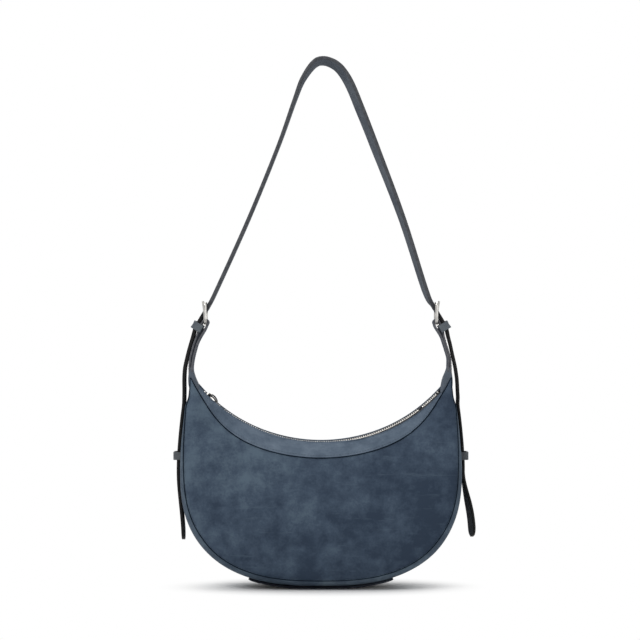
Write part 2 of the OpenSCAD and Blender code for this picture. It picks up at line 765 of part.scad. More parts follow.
// Strap: the twisted arch, and the ends that pass through the buckles down to the fold at the necks
arch_base = run(run_top, 0);
arch_shares = [[-1, 0], [-0.93, 0.064], [-0.642, 0.356], [-0.381, 0.649], [-0.233, 0.839], [-0.153, 0.929],
    [-0.028, 0.996], [0.125, 0.983], [0.241, 0.918], [0.355, 0.796], [0.482, 0.648], [0.725, 0.356],
    [0.93, 0.064], [1, 0]];
arch_turns = [0, 0, 0, 0, 2, 6, 12, 15, 17, 17, 15, 10, 8, 0];
arch_steps = 5;
bevel_share = 0.3;
arch_path = smooth([for (c = arch_shares)
    [c[0] * arch_base.x, 0, arch_base.y + c[1] * (strap_top_z - arch_base.y)]], arch_steps);
arch_turn = smooth(arch_turns, arch_steps);
strap_section = let (a = strap_w / 2, b = strap_t / 2, c = strap_t * bevel_share)
    [[a, -b + c], [a, b - c], [a - c, b], [-a + c, b], [-a, b - c], [-a, -b + c], [-a + c, -b], [a - c, -b]];
arch_rings = [for (i = [0:len(arch_path) - 1]) let (n = len(arch_path) - 1,
    d = i == 0 || i == n ? [sin(strap_lean), 0, (i == 0 ? 1 : -1) * cos(strap_lean)] : path_dir(arch_path, i),
    up = [-d.z, 0, d.x], w = [0, cos(arch_turn[i]), 0] - sin(arch_turn[i]) * up, v = cross(w, d))
    [for (c = strap_section) arch_path[i] + c[0] * w + c[1] * v]];

module strap_arch() {
    color([0.24, 0.27, 0.32]) bar(arch_rings);
}

strap_end_path = concat([run(run_top, 0)],
    bezier(run(run_low, 0), run(run_low + leg_tangent, 0), [tail_x, leg_top_z + leg_tangent],
        [tail_x, leg_top_z], 8));
foot_angle = prong_lean + strap_lean;
lift_angle = 22;
slot_half = function(a) (2 * prong_r / sin(a) + strap_t / tan(a)) / 2 + lap_gap;
slot_high = strap_off / tan(foot_angle) + slot_half(foot_angle);
slot_low = strap_off / tan(foot_angle + lift_angle) - slot_half(foot_angle + lift_angle);
slot_w = 2 * prong_r + 3 * lap_gap;

module strap_end() {
    slot_mid = run(-(slot_high + slot_low) / 2, 0);
    slot_run = slot_high - slot_low - slot_w;
    color([0.24, 0.27, 0.32]) difference() {
        intersection() {
            stand_xz(strap_w) polygon(concat(outer_side(strap_end_path, strap_t),
                [for (c = [[1, -lap_r], [lap_gap / strap_t, -lap_r], [lap_gap / strap_t, lap_r + lap_rise]])
                    [tail_x + c[0] * strap_t / 2, pivot_z + c[1]]],
                inner_side(strap_end_path, strap_t)));
            lap_silhouette(strap_top_z);
        }
        translate([slot_mid.x, 0, slot_mid.y]) rotate([0, 180 - strap_lean, 0]) rotate([0, 90, 0]) {
            cube([slot_run, slot_w, strap_t + 2 * overrun], center = true);
            for (s = [-1, 1]) translate([s * slot_run / 2, 0, 0])
                cylinder(d = slot_w, h = strap_t + 2 * overrun, center = true, $fn = 32);
        }
    }
}

module strap_end_left() {
    mirror([1, 0, 0]) strap_end();
}

module strap_end_right() {
    strap_end();
}

// Tails: from the fold at the neck down along the gusset, through the side loop to a round tip
lap_low_z = pivot_z - lap_r - lap_rise;
side_x = function(z) outline_x(z) + lap_gap + strap_t / 2;
tail_side_drop = 10;
tail_side_top_z = shell_z - tail_side_drop;
tail_stand_off = 1.6;
tail_hole_r = 1.6;
tail_hole_pitch = 22;
tail_holes = 3;
side_steps = 8;
shell_side = [side_x(shell_z) + tail_stand_off, shell_z];
tail_path = function(tip) concat(
    bezier([tail_x, lap_low_z], [tail_x, lap_low_z - end_tangent / 4],
        shell_side + [0, end_tangent * 2 / 3], shell_side, 6),
    [for (i = [1:side_steps]) let (f = i / side_steps, z = tail_side_top_z * (1 - f) + wide_z * f)
        [side_x(z), z]],
    bezier([side_x(wide_z), wide_z - end_tangent / 2], [side_x(wide_z), wide_z - 2 * end_tangent],
        [tip.x, tip.y + 2 * end_tangent], tip, 8));

module tail(tip_x) {
    path = tail_path([tip_x, tail_tip_z]);
    color([0.10, 0.10, 0.11]) difference() {
        intersection() {
            stand_xz(strap_w) polygon(concat(outer_side(path, strap_t), inner_side(path, strap_t),
                [for (c = [[-1, lap_r], [-lap_gap / strap_t, lap_r], [-lap_gap / strap_t, -lap_r - lap_rise]])
                    [tail_x + c[0] * strap_t / 2, pivot_z + c[1]]]));
            stand_yz(0, body_w) union() {
                translate([-lap_r, tail_tip_z + lap_r]) square([2 * lap_r, pivot_z - tail_tip_z - lap_r]);
                translate([0, pivot_z]) circle(r = lap_r, $fn = 96);
                translate([0, tail_tip_z + lap_r]) circle(r = lap_r, $fn = 96);
            }
        }
        for (k = [1:tail_holes]) translate([half_w, 0, tail_tip_z + lap_r + (k - 0.5) * tail_hole_pitch])
            rotate([0, 90, 0]) cylinder(r = tail_hole_r, h = body_w / 4, center = true, $fn = 32);
    }
}

left_tip_out = -2;
right_tip_out = 11;

module tail_left() {
    mirror([1, 0, 0]) tail(half_w + left_tip_out);
}

module tail_right() {
    tail(half_w + right_tip_out);
}

// Side loops: a leather bow over the tail, its legs against the gusset
loop_wall = 2;
loop_slack = 2.2;

module side_loop() {
    x0 = outline_x(loop_z - loop_h / 2) + sewn_gap;
    x1 = side_x(loop_z) + strap_t / 2 + loop_slack;
    y = strap_w / 2 + lap_gap;
    color([0.30, 0.30, 0.31]) translate([0, 0, loop_z - loop_h / 2]) linear_extrude(loop_h) difference() {
        union() {
            translate([x0, -y - loop_wall]) square([x1 - x0, 2 * (y + loop_wall)]);
            translate([x1, -y]) square([loop_wall, 2 * y]);
            for (s = [-1, 1]) translate([x1, s * y]) circle(r = loop_wall, $fn = 48);
        }
        translate([x0 - overrun, -y]) square([x1 - x0 + overrun, 2 * y]);
    }
}

module side_loop_left() {
    mirror([1, 0, 0]) side_loop();
}

module side_loop_right() {
    side_loop();
}

front_panel();
back_panel();
gusset();
front_piping();
back_piping();
front_seam();
back_seam();
front_band();
back_band();
front_lip();
back_lip();
front_tape();
back_tape();
front_teeth();
back_teeth();
zip_end_left();
zip_end_right();
zip_slider();
zip_puller();
lining();
base_board();
base_patch();
neck_left();
neck_right();
tail_left();
tail_right();
side_loop_left();
side_loop_right();
tab_left();
tab_right();
keeper_left();
keeper_right();
strap_arch();
strap_end_left();
strap_end_right();
frame_left();
frame_right();
prong_left();
prong_right();
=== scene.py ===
import bisect
import math

import bmesh
import bpy
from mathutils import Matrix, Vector, noise


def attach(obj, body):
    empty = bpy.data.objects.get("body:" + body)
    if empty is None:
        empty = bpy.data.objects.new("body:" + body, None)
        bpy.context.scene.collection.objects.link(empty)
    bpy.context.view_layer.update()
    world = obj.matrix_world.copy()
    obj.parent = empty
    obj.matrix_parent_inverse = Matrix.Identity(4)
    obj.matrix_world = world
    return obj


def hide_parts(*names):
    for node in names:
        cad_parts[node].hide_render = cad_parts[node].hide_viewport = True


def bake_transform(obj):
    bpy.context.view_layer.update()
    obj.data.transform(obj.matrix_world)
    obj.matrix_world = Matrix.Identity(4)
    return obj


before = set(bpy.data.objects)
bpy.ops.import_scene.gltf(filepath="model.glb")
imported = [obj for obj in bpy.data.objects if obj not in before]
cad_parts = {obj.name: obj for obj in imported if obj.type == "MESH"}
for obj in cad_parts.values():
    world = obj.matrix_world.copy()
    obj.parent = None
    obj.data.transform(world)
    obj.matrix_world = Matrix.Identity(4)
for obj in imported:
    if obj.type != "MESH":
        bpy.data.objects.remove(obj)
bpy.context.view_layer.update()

# The shape below is worked out in millimetres, as a pattern cutter would, and placed in metres
MM = 0.001
Y = Vector((0, 1, 0))

# Body: its outline is widest at wide_z, and each side draws in a little up to the neck at shell_z
half_w = 157.0
wide_z = 135.0
shell_z = 224.0
base_t = 2.5
outline_power = 2.6  # of the round part below wide_z
low_share = 0.62  # share of the outline's run that the round part takes
neck_in = 8.6
neck_power = 1.5
top_ease = 2.3  # one more draw, between these shares of the way up the side
ease_from = 0.74
ease_to = 0.9
t_end = 1.055  # how far the panels run on past the necks' feet
neck_tip = Vector((145.3, -14.0, 234.4))
body_middle = (0, 0, 130)  # inside point, towards which walls get their thickness

# Gusset: its width, and how far its middle stands out past the seams
gusset_w = 84.0
gusset_top_w = 32.0
gusset_power = 1.25
neck_depth = 12.4
gusset_crown = 8.5
crown_from = 0.4  # from here up to the necks the crown shrinks by crown_loss
crown_loss = 0.97
crown_power = 4
gusset_end = 1.05
gusset_tuck = 0.45  # how deep the edges turn in under the seams, within about tuck_reach
tuck_reach = 2.5
gusset_wave = 0.5
waves_along = 9
waves_across = 1.4
gusset_seed = 3.3
wave_end = 0.6  # the waves die out from here down to the middle of the bottom

# Leather, lining and seams
leather_t = 2.2
lining_t = 0.8
lining_gap = 1.0
cord_r = 0.62
cord_sunk = 0.42
edge = 0.3  # gap between a leather's edge and the middle of its seam
lap_gap = 0.25  # clearance between leathers that slide or lie on each other

# Panels: their dome, the dip along their seams, soft waves, folds that fan out below the necks, and one dent
panel_dome = 0.4
narrow_share = 0.4  # most of the height that the gap at the top seam takes where the panel is narrow
seam_dip = 0.9
dip_reach = 3
dip_span = 14
wave_depth = 1.7
wave_scale = 0.021
ripple_depth = 0.45
ripple_scale = 0.055
ripple_seed = 40
wave_clear = 30
fan_x = 150
fan_z = 230
fan_depth = 0.55
fan_folds = 15
fan_starts = (14, 45)
fan_ends = (70, 130)
dent = Vector((-124.0, 0, 176.0))
dent_r = 15.0
dent_depth = 4.2
dent_clear = 8
front_seed = 0
back_seed = 7.3

# Top seam and mouth bands
seam_low_z = 145.9
seam_half_w = 138.0
seam_gap_w = 64.0
seam_bow = 0.56  # share of the seam's rise that is one even bow; the rest comes near the necks
seam_turn_power = 6
seam_spread = 0.8
seam_flare = 1.6
flare_from = 0.93
seam_lean = (seam_gap_w - gusset_top_w) / 2 / (shell_z - seam_low_z)
corner_x = 136.6
band_t = 1.3
band_start = 1.1 * edge
band_sunk = 0.5
band_bulge = 0.8
fold_bulge = 0.15
fold_share = 0.4

# Fold and zip edge of each band, as pairs of y across the chain and rise above it: the front band covers
# the chain at the left, leaves it bare at the right and changes between, and the back band stays low
FRONT_LEFT = ((9.0, 3.6), (5.0, 4.2))
FRONT_RIGHT = ((9.0, 1.5), (6.4, 1.2))
BACK = ((9.4, -1.1), (7.0, 0.8))
bare_from = 5  # the change lies between these two widths
bare_to = 75

# Zip: the chain is an arc in front view, and its top is turned towards the front by chain_roll degrees
zip_r = 182.0
zip_z = 342.5
chain_roll = 20.0
tape_t = 0.5
tape_low_y = 1.7
tape_high_y = 7.8
tape_end_x = 112.0
end_tape_x = 133.0
end_tape_y = 4.7
longest_tooth = 8.0  # parts of the CAD's zip ends that are longer than this are tape

# Strap: straight runs lean at the buckles, and the tails hang down the sides
strap_w = 24.0
strap_t = 3.9
strap_top_z = 589.0
strap_lean = math.radians(31)
strap_off = 6.65  # from the heel bar to the middle of the strap's run
run_top = -18.0  # places on the run are counted down along it from the heel bar
edge_round = 1.3
face_steps = 8
round_steps = 3
strap_steps = 460
tail_sunk = 0.2
side_off = lap_gap + strap_t / 2 - tail_sunk
tail_length = 245.0
thin_over = 30.0  # length over which the strap thins to its tail
tail_steps = 8
tail_handle = 28
tail_start = 7
blunt_tip = 0.03  # share of its width that the strap keeps at its very end
hole_r = 1.6
hole_reach = 20
HOLE_HEIGHTS = (76, 98, 120)
slot_mid = -6.87
slot_half_run = 4.3
slot_r = 1.48

# Thickness of each tail as a share of the strap's, its tip, how far the two handles of its curve stand out,
# and its turn at the tip in degrees, so that the right tail shows its face
TAIL_SHARE = {"left": 0.95, "right": 0.8}
TIPS = {"left": Vector((153.6, 0, 53)), "right": Vector((169, 0, 56))}
HANDLES_OUT = {"left": (0.0, 0.4), "right": (1.1, 1.1)}
TAIL_TURN = {"left": 0.0, "right": 12.0}

# The strap's way as x and z: down its run beside the buckle, over the fold and down the side
RUN_PLACES = (run_top, -12, -6.5, 0, 6.5)
FALL = {
    "left": ((140.2, 289.9), (141.4, 286), (142.8, 280.6), (145.2, 272.5), (147.5, 264.5), (149.7, 255.7),
             (151.7, 246.6), (152.5, 239.8), (152.8, 231), (152.7, 222), (152.8, 213)),
    "right": ((139.9, 290), (141.0, 286.4), (142.2, 280.4), (144.4, 272.4), (146.1, 264.5), (148.1, 255.6),
              (150.1, 246.6), (151.2, 239.8), (152.1, 233), (152.6, 226), (152.9, 219), (153.3, 212)),
}
SIDE_LEVELS = (204, 192, 180, 168, 156, 144, 135)

# The arch over the shoulder, as shares of the runs' half distance and of the height above them, and its turns
ARCH_SHARES = (
    (-0.93, 0.064), (-0.642, 0.356), (-0.381, 0.649), (-0.233, 0.839), (-0.153, 0.929), (-0.028, 0.996),
    (0.125, 0.983), (0.241, 0.918), (0.355, 0.796), (0.482, 0.648), (0.725, 0.356), (0.93, 0.064),
)
ARCH_TURNS = (0, 0, 0, 2, 6, 12, 15, 17, 17, 15, 10, 8)

# Tabs: a strip folded round the buckle's heel bar, its two legs pressed together above the neck
heel = Vector((129.0, 0, 295.8))
tab_t = 2.1
wrap_r = 2.95
wrap_end = 215.0  # degrees at which the wrap ends
wrap_steps = 9
eye_w = 3.5
eye_low = -4.5
eye_high = 13.5
core_in = 0.8  # the core is this much narrower at each edge, and bites this deep into the legs
core_bite = 0.3
tab_round = 0.4
tab_stitch_in = 2.2
tab_stitch_from = 0.03
tab_stitch_share = 0.3

# The tab's way as x and z: up its outer leg, along the run to the wrap, and down its inner leg
OUTER_LEG = {
    "left": ((146.6, 238.6), (146.5, 246.5), (145.9, 255.5), (143.8, 264.4), (141.5, 272.3), (138.7, 280.1),
             (137.2, 285)),
    "right": ((144.9, 238.6), (144.6, 246.5), (144.1, 255.5), (141.7, 264.4), (139.2, 272.3), (137.2, 280.1),
              (136.5, 285)),
}
TAB_RUN = (6.5, 2.5)
INNER_LEG = {
    "left": ((127.3, 292.6), (129.6, 287.3), (133.9, 280.1), (137.8, 272.3), (140.2, 264.4), (142.4, 255.5),
             (143.7, 246.5), (143.5, 238.6)),
    "right": ((127.5, 291.2), (129.8, 287.3), (134.2, 280.1), (137.0, 272.3), (139.5, 264.4), (141.9, 255.5),
              (141.9, 246.5), (141.8, 238.6)),
}

# Top of the core between the legs, at its outer and inner side
CORE_TOP_OUTER = (135.2, 288.6)
CORE_TOP_INNER = (128.4, 289.8)

# Neck blocks: height, inner and outer x, and half depth at each level
NECK = {
    "left": ((217.4, 134.6, 145.6, 15.0), (221, 135.7, 146.4, 15.0), (226.4, 136.9, 147.7, 14.2),
             (233, 139.8, 148.1, 13.0), (239.8, 142.0, 147.6, 12.1), (243.4, 142.5, 147.4, 11.8),
             (246, 142.8, 147.2, 11.5)),
    "right": ((217.4, 133.4, 145.6, 15.0), (221, 133.8, 146.3, 15.0), (226.4, 134.7, 147.0, 14.2),
              (233, 136.1, 147.0, 13.0), (239.8, 138.9, 146.1, 12.1), (243.4, 140.2, 145.7, 11.8),
              (246, 140.9, 145.4, 11.5)),
}
neck_round = 0.7

# Keepers and side loops
keeper_s = 8.5  # place on the strap's run
keeper_length = 8.6
keeper_wall = 1.6
keeper_room = 0.9
keeper_waist = 0.2
keeper_round = 0.35
loop_z = 147.0
loop_length = 8.7
loop_wall = 2.0
loop_room = 2.2
loop_sunk = 0.5
loop_round = 0.4

# Base patch
patch_half = 80.0
patch_depth = 22.0
patch_corner = 9.0
patch_t = 2.3
patch_sunk = 0.15
patch_round = 0.7
patch_stitch_in = 4
patch_stitch_share = 0.86

# Powers that square a round section: the smaller the power, the sharper its corners
keeper_corner = 0.2
core_corner = 0.2
neck_corner = 0.22
loop_corner = 0.3

# Lining: where it begins up the panel, the shares of the panel's height and the gusset's width that it
# covers, and how much narrower it is than the panel
lining_low = 0.05
lining_share = 0.9
lining_across = 0.88
lining_draw = 0.985

# Directions down the strap's straight run and out from its face
down = Vector((math.sin(strap_lean), 0, -math.cos(strap_lean)))
out_dir = Vector((math.cos(strap_lean), 0, math.sin(strap_lean)))


# Lines and curves
def ease(low, high, value):
    """Smooth step from 0 at low to 1 at high."""
    f = min(1.0, max(0.0, (value - low) / (high - low)))
    return f * f * (3 - 2 * f)


def blend_points(points, at):
    """Point at the place at, from 0 to 1, on a smooth line through the points."""
    spans = len(points) - 1
    place = min(max(at, 0.0), 1.0) * spans
    i = min(int(place), spans - 1)
    f = place - i
    a = points[max(i - 1, 0)]
    b = points[i]
    c = points[i + 1]
    d = points[min(i + 2, spans)]
    bend = 2 * a - 5 * b + 4 * c - d
    twist = 3 * b - a - 3 * c + d
    return 0.5 * (2 * b + (c - a) * f + bend * f * f + twist * f * f * f)


def running_lengths(points):
    """Length along the line at each of its points."""
    lengths = [0.0]
    for a, b in zip(points, points[1:]):
        lengths.append(lengths[-1] + (b - a).length)
    return lengths


def even_line(points, steps, finer=4):
    """The smooth line through the points, cut into equal lengths."""
    fine = [blend_points(points, i / (steps * finer)) for i in range(steps * finer + 1)]
    lengths = running_lengths(fine)
    line = []
    k = 0
    for i in range(steps + 1):
        wanted = lengths[-1] * i / steps
        while k < len(fine) - 2 and lengths[k + 1] < wanted:
            k += 1
        f = (wanted - lengths[k]) / max(1e-9, lengths[k + 1] - lengths[k])
        line.append(fine[k] + (fine[k + 1] - fine[k]) * min(1.0, f))
    return line


def bezier(p, q, r, s, steps):
    return [
        (1 - f) ** 3 * p + 3 * (1 - f) ** 2 * f * q + 3 * (1 - f) * f * f * r + f**3 * s
        for f in (i / steps for i in range(steps + 1))
    ]


def rounded(turn, power):
    """Cosine and sine drawn out towards a square with round corners."""
    c = math.cos(turn)
    s = math.sin(turn)
    return math.copysign(abs(c) ** power, c), math.copysign(abs(s) ** power, s)


# Outline of the body in the X Z plane: t is -1 at the left neck, 0 at the bottom and 1 at the right neck,
# and the leather runs on a little past the necks
def side_u(t):
    return max(0.0, (abs(t) - low_share) / (1 - low_share))


def outline(t):
    side = -1 if t < 0 else 1
    if abs(t) < low_share:
        f = math.pi / 2 * abs(t) / low_share
        x = half_w * math.sin(f) ** (2 / outline_power)
        low = max(0.0, math.cos(f)) ** (2 / outline_power)
        return Vector((side * x, 0, wide_z - (wide_z - base_t) * low))
    q = side_u(t)
    x = half_w - neck_in * min(q, 1) ** neck_power - top_ease * ease(ease_from, ease_to, q)
    return Vector((side * x, 0, wide_z + q * (shell_z - wide_z)))


def inset(t, depth):
    """Outline point moved in by depth, at right angles to the outline."""
    step = 0.002
    way = (outline(t + step) - outline(t - step)).normalized()
    return outline(t) + depth * Vector((-way.z, 0, way.x))


def gusset_half(t):
    return max(neck_depth, gusset_w / 2 - (gusset_w - gusset_top_w) / 2 * side_u(t) ** gusset_power)


def crown(t):
    """How far the gusset's middle stands out past its seams: full below, nearly flat at the necks."""
    return gusset_crown * (1 - crown_loss * min(1.0, max(0.0, (abs(t) - crown_from) / (1 - crown_from))))


def outline_x(z):
    q = min(1.0, max(0.0, (z - wide_z) / (shell_z - wide_z)))
    return half_w - neck_in * q**neck_power


def side_x(z):
    """Middle of the strap where it hangs beside the body."""
    return outline_x(z) + side_off


def floor_z(x):
    return wide_z - (wide_z - base_t) * (1 - (abs(x) / half_w) ** outline_power) ** (1 / outline_power)


def seam_point(x):
    """Front top seam at the width x; it flares out a little where it turns up into the neck."""
    r = abs(x) / seam_half_w
    rise = (shell_z - seam_low_z) * (seam_bow * r * r + (1 - seam_bow) * r**seam_turn_power)
    flare = seam_flare * max(0.0, (r - flare_from) / (1 - flare_from)) ** 2
    return Vector((x + math.copysign(flare, x), -seam_gap_w / 2 + seam_lean * rise, seam_low_z + rise))


def to_tip(point, t):
    """Draws a point past the neck's foot towards the tip where the panel ends."""
    f = max(0.0, (abs(t) - 1) / (t_end - 1))
    return point + f * (Vector((math.copysign(neck_tip.x, t), neck_tip.y, neck_tip.z)) - point)


def low_seam(t, depth=0.0):
    """Front seam between the panel and the gusset."""
    k = math.copysign(min(1.0, abs(t)), t)
    point = inset(k, crown(k) + depth)
    point.y = -gusset_half(k)
    return to_tip(point, t)


def top_seam(t):
    """Front seam between the panel and the mouth band."""
    k = min(1.0, abs(t))
    return to_tip(seam_point(math.copysign(seam_half_w * k**seam_spread, t)), t)


def chain_row(x, y, rise, roll):
    """Point of the zip's cross-section at the width x: y across the chain and rise above it."""
    turn = math.radians(roll)
    across = y * math.cos(turn) - rise * math.sin(turn)
    up = y * math.sin(turn) + rise * math.cos(turn)
    r = zip_r - up
    return Vector((x, across, zip_z - math.sqrt(r * r - x * x)))


def run(s):
    """Point on the strap's straight run: s down along it from the heel bar."""
    return heel + s * down + strap_off * out_dir


# A piece is shaped for the front or the right, and the same or mirrored for each side
def same(place):
    return place


def mirror_y(place):
    def mirrored(u, v):
        p = place(u, v)
        return Vector((p.x, -p.y, p.z))

    return mirrored


def mirror_x(place):
    def mirrored(u, v):
        p = place(u, v)
        return Vector((-p.x, p.y, p.z))

    return mirrored


FACES = (("front", same), ("back", mirror_y))
SIDES = (("left", -1, mirror_x), ("right", 1, same))
ROLLS = {"front": chain_roll, "back": -chain_roll}


# Modelling helpers
def deselect():
    bpy.ops.object.select_all(action="DESELECT")


def pick(piece):
    deselect()
    piece.select_set(True)
    bpy.context.view_layer.objects.active = piece


def bent_grid(name, columns, rows, place):
    """A grid bent to the surface place(u, v), in millimetres, with u and v from 0 to 1 kept as its UV map."""
    deselect()
    bpy.ops.mesh.primitive_grid_add(x_subdivisions=columns, y_subdivisions=rows, size=2, calc_uvs=True)
    piece = bpy.context.object
    piece.name = name
    piece.data.name = name
    for vertex in piece.data.vertices:
        vertex.co = place((vertex.co.x + 1) / 2, (vertex.co.y + 1) / 2) * MM
    return piece


def weld(piece, cap=True):
    """Joins the two long edges of a bent grid into a tube and caps its ends."""
    pick(piece)
    bpy.ops.object.mode_set(mode="EDIT")
    bpy.ops.mesh.select_all(action="SELECT")
    bpy.ops.mesh.remove_doubles(threshold=0.00002)
    if cap:
        bpy.ops.mesh.select_all(action="DESELECT")
        bpy.ops.mesh.select_non_manifold()
        bpy.ops.mesh.fill_holes(sides=0)
        bpy.ops.mesh.select_all(action="SELECT")
    bpy.ops.mesh.normals_make_consistent(inside=False)
    bpy.ops.object.mode_set(mode="OBJECT")
    return piece


def turn_from(piece, inside):
    """Turns an open piece so that its faces point away from the point inside, in millimetres."""
    centre = Vector(inside) * MM
    facing = sum((p.center - centre).dot(p.normal) * p.area for p in piece.data.polygons)
    if facing < 0:
        piece.data.flip_normals()


def thicken(piece, thickness, inside=None, offset=-1.0, rim=0):
    """Gives a sheet its thickness, on the side of the point inside; its rim takes the material number rim."""
    if inside:
        turn_from(piece, inside)
    pick(piece)
    wall = piece.modifiers.new("wall", "SOLIDIFY")
    wall.thickness = thickness * MM
    wall.offset = offset
    wall.use_even_offset = False
    wall.use_quality_normals = True
    wall.material_offset_rim = rim
    bpy.ops.object.modifier_apply(modifier="wall")
    return piece


def round_edges(piece, width, segments=2, angle=40.0):
    pick(piece)
    soften = piece.modifiers.new("soften", "BEVEL")
    soften.width = width * MM
    soften.segments = segments
    soften.limit_method = "ANGLE"
    soften.angle_limit = math.radians(angle)
    bpy.ops.object.modifier_apply(modifier="soften")
    return piece


def face_out(piece):
    """Turns a closed piece right side out."""
    shape = bmesh.new()
    shape.from_mesh(piece.data)
    if shape.calc_volume(signed=True) < 0:
        bmesh.ops.reverse_faces(shape, faces=shape.faces)
        shape.to_mesh(piece.data)
    shape.free()
    return piece


def two_slots(piece):
    """Makes room for two materials, so that rims and the walls of holes can take the second one."""
    for _ in range(2):
        piece.data.materials.append(None)
    return piece


def finish_piece(piece, body, materials, replaced=(), angle=45.0):
    face_out(piece)
    pick(piece)
    bpy.ops.object.shade_smooth_by_angle(angle=math.radians(angle))
    while len(piece.data.materials) < len(materials):
        piece.data.materials.append(None)
    for i, material in enumerate(materials):
        piece.data.materials[i] = material
    if body:
        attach(piece, body)
    if replaced:
        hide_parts(*replaced)
    return piece


def punch(name, centre, along, axis, radius, half_run=0.0, depth=8.0):
    """A round or long punch: its hole runs along axis, and is long in the direction along."""
    deselect()
    bpy.ops.mesh.primitive_cylinder_add(vertices=24, radius=1, depth=2)
    tool = bpy.context.object
    tool.name = name
    side = axis.cross(along)
    for vertex in tool.data.vertices:
        a, b, c = vertex.co
        stretch = math.copysign(half_run, a) if abs(a) > 0.01 else 0.0
        vertex.co = (centre + (a * radius + stretch) * along + b * radius * side + c * depth * axis) * MM
    return tool


def cut_holes(piece, tools):
    """Cuts holes, whose walls take the piece's second material."""
    for tool in tools:
        two_slots(face_out(tool))
        for polygon in tool.data.polygons:
            polygon.material_index = 1
    deselect()
    for tool in tools:
        tool.select_set(True)
    bpy.context.view_layer.objects.active = tools[0]
    if len(tools) > 1:
        bpy.ops.object.join()
    pick(piece)
    hole = piece.modifiers.new("hole", "BOOLEAN")
    hole.operation = "DIFFERENCE"
    hole.solver = "EXACT"
    hole.object = tools[0]
    bpy.ops.object.modifier_apply(modifier="hole")
    bpy.data.objects.remove(tools[0])
    return piece


def tube_place(points, radius):
    """Places a round tube along a line of points that lies near the X Z plane."""
    step = 0.001

    def place(u, v):
        centre = blend_points(points, u)
        way = (blend_points(points, min(1, u + step)) - blend_points(points, max(0, u - step))).normalized()
        side = Y.cross(way).normalized()
        other = way.cross(side)
        turn = 2 * math.pi * v
        return centre + radius * (math.cos(turn) * side + math.sin(turn) * other)

    return place


def stitch_row(name, line, outward, pitch=3.2, length=2.3, width=0.55, proud=0.1):
    """One mesh of stitches along a line of points; outward(point) is the side that they lie on."""
    count = max(2, int(running_lengths(line)[-1] / pitch))
    spots = even_line(line, count)
    deselect()
    bpy.ops.mesh.primitive_uv_sphere_add(segments=6, ring_count=4, radius=0.5)
    model = bpy.context.object
    shape = bmesh.new()
    for a, b in zip(spots, spots[1:]):
        middle = (a + b) / 2
        way = (b - a).normalized()
        up = outward(middle)
        up = (up - up.dot(way) * way).normalized()
        side = way.cross(up)
        fresh = bmesh.new()
        fresh.from_mesh(model.data)
        for vertex in fresh.verts:
            x, y, z = vertex.co
            local = z * length * way + x * width * side + (y * width * 0.8 + proud) * up
            vertex.co = (middle + local) * MM
        copy = bpy.data.meshes.new("stitch")
        fresh.to_mesh(copy)
        fresh.free()
        shape.from_mesh(copy)
        bpy.data.meshes.remove(copy)
    row = bpy.data.objects.new(name, bpy.data.meshes.new(name))
    shape.to_mesh(row.data)
    shape.free()
    bpy.context.scene.collection.objects.link(row)
    bpy.data.objects.remove(model)
    return row


# Material helpers
def colour(red, green, blue):
    """Linear colour of a screen colour from 0 to 255."""
    linear = []
    for level in (red, green, blue):
        share = level / 255
        linear.append(share / 12.92 if share <= 0.04045 else ((share + 0.055) / 1.055) ** 2.4)
    return (*linear, 1.0)


def new_group(name, inputs, outputs):
    group = bpy.data.node_groups.new(name, "ShaderNodeTree")
    for label, kind, value in inputs:
        socket = group.interface.new_socket(name=label, in_out="INPUT", socket_type=kind)
        if value is not None:
            socket.default_value = value
    for label, kind in outputs:
        group.interface.new_socket(name=label, in_out="OUTPUT", socket_type=kind)
    return group, group.nodes.new("NodeGroupInput"), group.nodes.new("NodeGroupOutput")


def feed(tree, socket, value):
    """Links a socket to another node's output, or sets its value."""
    if isinstance(value, bpy.types.NodeSocket):
        tree.links.new(value, socket)
    else:
        socket.default_value = value


def add_node(tree, kind, **inputs):
    """A new shader node with its named inputs fed."""
    node = tree.nodes.new("ShaderNode" + kind)
    for label, value in inputs.items():
        feed(tree, node.inputs[label.replace("_", " ")], value)
    return node


def add_noise(tree, vector, scale, detail=3.0, rough=0.5, stretch=None):
    if stretch:
        vector = add_node(tree, "Mapping", Scale=stretch, Vector=vector).outputs["Vector"]
    noise_node = add_node(tree, "TexNoise", Vector=vector, Scale=scale, Detail=detail, Roughness=rough)
    return noise_node.outputs["Fac"]


def add_math(tree, operation, first, second):
    node = add_node(tree, "Math")
    node.operation = operation
    feed(tree, node.inputs[0], first)
    feed(tree, node.inputs[1], second)
    return node.outputs[0]


def add_weighted(tree, *parts):
    """Sum of pairs of a value and its weight."""
    total = None
    for value, weight in parts:
        part = add_math(tree, "MULTIPLY", value, weight)
        total = part if total is None else add_math(tree, "ADD", total, part)
    return total


def add_range(tree, value, low, high, to_low, to_high, smooth=False):
    node = add_node(tree, "MapRange", Value=value, From_Min=low, From_Max=high, To_Min=to_low, To_Max=to_high)
    if smooth:
        node.interpolation_type = "SMOOTHSTEP"
    return node.outputs["Result"]


def add_mix(tree, factor, first, second, blend="MIX"):
    """Mix of two colours."""
    node = add_node(tree, "Mix", Factor=factor)
    node.data_type = "RGBA"
    node.blend_type = blend
    first_colour, second_colour = node.inputs[6:8]
    feed(tree, first_colour, first)
    feed(tree, second_colour, second)
    return node.outputs[2]


def split_vector(tree, vector):
    return add_node(tree, "SeparateXYZ", Vector=vector).outputs


